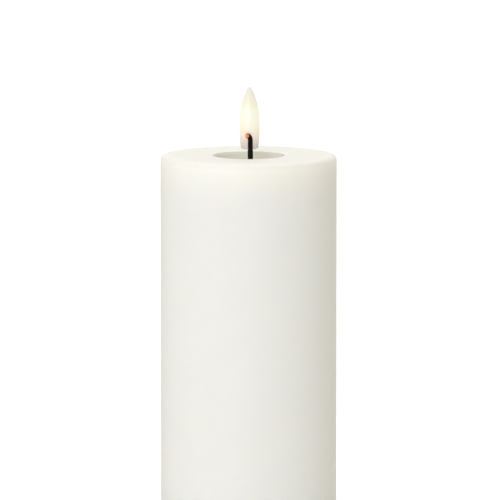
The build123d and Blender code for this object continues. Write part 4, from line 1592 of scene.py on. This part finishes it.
    def build(self) -> None:
        """Makes the cover's pieces, which ride on the cover, and its screw."""
        dress = self.candle.dress
        dress(self.make_cover(), WHITE_MOULDING, "white_plastic", "battery_cover", ["battery_cover"])
        dress(self.make_screw(), ZINC, "screw_steel", "cover_screw", ["cover_screw"])
        dress(self.make_strip(), NICKEL, "contact_bronze", "battery_cover", ["bridge_plate"])
        for node, name, body in (("bridge_spring", "lower_spring", "battery_cover"),
                                 ("negative_spring", "upper_spring", "candle")):
            low, high = self.candle.box(node)
            coil = Workbench.coil(name, self.candle.axis(node), low.z, high.z,
                                  (high.y - low.y) / 2 - self.wire / 2, self.wire, self.spring_turns)
            dress(coil, NICKEL, "spring_steel", body, [node])


@dataclass
class Cells:
    """The two AA cells: a steel can in a printed sleeve."""

    candle: Candle
    radius: float = 7.1 * MM
    can_radius: float = 6.75 * MM
    shoulder: float = 49.5 * MM
    button_radius: float = 2.75 * MM

    def make_can(self, length: float) -> Piece:
        """The can with its crimp and button, standing on its flat end.

        Args:
            length: Height of the button's top.

        Returns:
            The closed piece.
        """
        rim = self.shoulder
        rings = [
            Ring(0, 0), Ring(5.55 * MM, 0, 0.12 * MM, 2), Ring(5.9 * MM, 0.3 * MM),
            Ring(self.can_radius, 0.5 * MM), Ring(self.can_radius, rim - 0.5 * MM),
            Ring(5.7 * MM, rim - 0.15 * MM), Ring(5.2 * MM, rim - 0.5 * MM),
            Ring(4.1 * MM, rim - 0.5 * MM), Ring(3.7 * MM, rim - 0.05 * MM, 0.15 * MM, 2),
            Ring(self.button_radius, rim - 0.05 * MM), Ring(self.button_radius, length, 0.4 * MM, 4),
            Ring(0, length),
        ]
        return Workbench.smooth(Workbench.turn("can", rings, segments=64), 35)

    def make_sleeve(self) -> Piece:
        """The thin sleeve, drawn in over both ends of the can.

        Returns:
            The closed piece.
        """
        rim, inner = self.shoulder, self.can_radius - 0.05 * MM
        rings = [
            Ring(6.0 * MM, 0.04 * MM), Ring(self.radius, 0.04 * MM, 0.45 * MM, 5),
            Ring(self.radius, rim - 0.04 * MM, 0.5 * MM, 5), Ring(5.8 * MM, rim - 0.04 * MM),
            Ring(5.8 * MM, rim - 0.2 * MM), Ring(inner, rim - 0.45 * MM), Ring(inner, 0.45 * MM),
            Ring(6.0 * MM, 0.2 * MM),
        ]
        return Workbench.smooth(Workbench.turn("sleeve", rings, segments=64, hollow=True), 35)

    def build(self) -> None:
        """Stands one cell on the cover's spring and the other on its button."""
        for node, upright in (("battery_a", True), ("battery_b", False)):
            low, high = self.candle.box(node)
            middle = (low + high) / 2
            place = Matrix.Translation((middle.x, middle.y, low.z if upright else high.z))
            turn = Matrix.Identity(4) if upright else Matrix.Rotation(math.pi, 4, "X")
            jacket = JacketFinish(node + " jacket", (0.03, 0.06, 0.05), 0.3, Grain.TURNED, coat=0.3, low=low.z,
                                  high=high.z, upright=upright)
            for piece, part, finish, slot in (
                    (self.make_can(high.z - low.z), "can", NICKEL, "screw_steel"),
                    (self.make_sleeve(), "sleeve", jacket, "cell_jacket")):
                piece.name = f"{node}_{part}"
                Workbench.settle(piece, place @ turn)
                self.candle.dress(piece, finish, slot, nodes=[node] if part == "sleeve" else [])


@dataclass
class PlainNodes:
    """CAD nodes whose shape is right, each with its finish."""

    candle: Candle
    finishes: dict = field(default_factory=lambda: {
        "core_insert": INSERT_MOULDING, "screw_retainer": NICKEL, "positive_contact": NICKEL,
        "negative_contact": NICKEL,
        "control_board": BOARD, "driver_chip": CHIP_BLACK, "timer_crystal": TIN,
        "board_capacitor": SLEEVE_BLUE, "board_resistors": CHIP_BLACK, "switch_can": TIN,
        "switch_back": PHENOLIC, "switch_pins": TIN,
        "switch_wiper": BRONZE, "led_wire_red": RED_WIRE, "led_wire_black": BLACK_WIRE,
        "heat_shrink_sleeves": SHRINK, "battery_wire_red": RED_WIRE, "battery_wire_black": BLACK_WIRE,
    })

    def build(self) -> None:
        """Paints each node."""
        for node, finish in self.finishes.items():
            self.candle.paint(node, finish)


@dataclass
class Studio:
    """Pale floor, soft lights and the camera."""

    view_width: float = 212.5 * MM
    distance: float = 2950.0 * MM
    pitch: float = 7.3
    target: Point = (0.6 * MM, 0.0, 109.3 * MM)
    sensor: float = 36.0
    floor_lift: float = 0.45
    world_strength: float = 0.69
    world_tone: Colour = (1.0, 0.972, 0.865)

    def floor(self) -> None:
        """A wide pale floor that hides nothing from below, so that the candle's underside can be seen."""
        Workbench.clear()
        bpy.ops.mesh.primitive_plane_add(size=40.0)
        floor = Workbench.new_piece("studio_floor")
        material = bpy.data.materials.new("studio floor")
        material.use_nodes = True
        sheet = NodeSheet(material.node_tree)
        shader = material.node_tree.nodes["Principled BSDF"]
        for socket, value in (("Base Color", (0.80, 0.80, 0.80, 1.0)), ("Roughness", 0.9),
                              ("Specular IOR Level", 0.1), ("Emission Color", (1.0, 1.0, 1.0, 1.0))):
            shader.inputs[socket].default_value = value
        seen = sheet.add("ShaderNodeLightPath").outputs["Is Camera Ray"]
        sheet.tree.links.new(sheet.math("MULTIPLY", seen, self.floor_lift), shader.inputs["Emission Strength"])
        behind = sheet.add("ShaderNodeNewGeometry").outputs["Backfacing"]
        clear = sheet.add("ShaderNodeBsdfTransparent").outputs[0]
        either = sheet.add("ShaderNodeMixShader", {0: behind, 1: shader.outputs[0], 2: clear}).outputs[0]
        sheet.tree.links.new(either, material.node_tree.nodes["Material Output"].inputs["Surface"])
        floor.data.materials.append(material)
        floor.visible_shadow = floor.visible_diffuse = floor.visible_glossy = False
        floor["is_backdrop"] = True

    def lamp(self, name: str, place: Point, size: float, energy: float, colour: Colour = (1, 1, 1)) -> None:
        """A square soft light that faces the candle.

        Args:
            name: Its name.
            place: Where it stands.
            size: Length of its sides.
            energy: Its power in watts.
            colour: Its colour.
        """
        Workbench.clear()
        bpy.ops.object.light_add(type="AREA", location=place)
        lamp = bpy.context.object
        lamp.name = name
        lamp.data.size = size
        lamp.data.energy = energy
        lamp.data.color = colour
        lamp.rotation_euler = (Vector(self.target) - Vector(place)).to_track_quat("-Z", "Y").to_euler()

    def world(self) -> None:
        """Even, slightly warm surroundings."""
        world = bpy.data.worlds.new("studio white")
        world.use_nodes = True
        world.node_tree.nodes["Background"].inputs[0].default_value = (*self.world_tone, 1.0)
        world.node_tree.nodes["Background"].inputs[1].default_value = self.world_strength
        bpy.context.scene.world = world

    def camera(self) -> None:
        """A long lens a little above the rim."""
        data = bpy.data.cameras.new("studio camera")
        data.sensor_width = self.sensor
        data.lens = self.sensor * self.distance / self.view_width
        data.clip_end = 100.0
        eye = bpy.data.objects.new("studio camera", data)
        bpy.context.scene.collection.objects.link(eye)
        pitch = math.radians(self.pitch)
        offset = Vector((0.0, -math.cos(pitch), math.sin(pitch))) * self.distance
        eye.location = Vector(self.target) + offset
        eye.rotation_euler = (-offset).to_track_quat("-Z", "Y").to_euler()
        bpy.context.scene.camera = eye

    def build(self) -> None:
        """Sets up the floor, the lights and the camera."""
        self.camera()
        self.floor()
        self.world()
        self.lamp("key light", (-0.76, -2.08, 0.52), 1.0, 18.3, (0.985, 1.0, 1.14))
        self.lamp("side light", (-2.0, -0.3, 0.7), 1.0, 1.5)
        self.lamp("top light", (0.2, 1.45, 1.95), 1.6, 19.0, (0.97, 1.0, 1.07))
        bpy.context.scene.view_settings.view_transform = "Standard"
        bpy.context.scene.view_settings.look = "None"


def main() -> None:
    """Builds the whole scene and keeps the size of the model before it is built."""
    logging.basicConfig(level=logging.INFO, format="%(name)s: %(message)s")
    candle = Candle()
    Studio().build()
    for assembly in (WaxPillar, FlameAndWick, StemSeat, Foot, SwitchLever, CoverGroup, Cells, PlainNodes):
        assembly(candle).build()


if __name__ == "__main__":
    main()
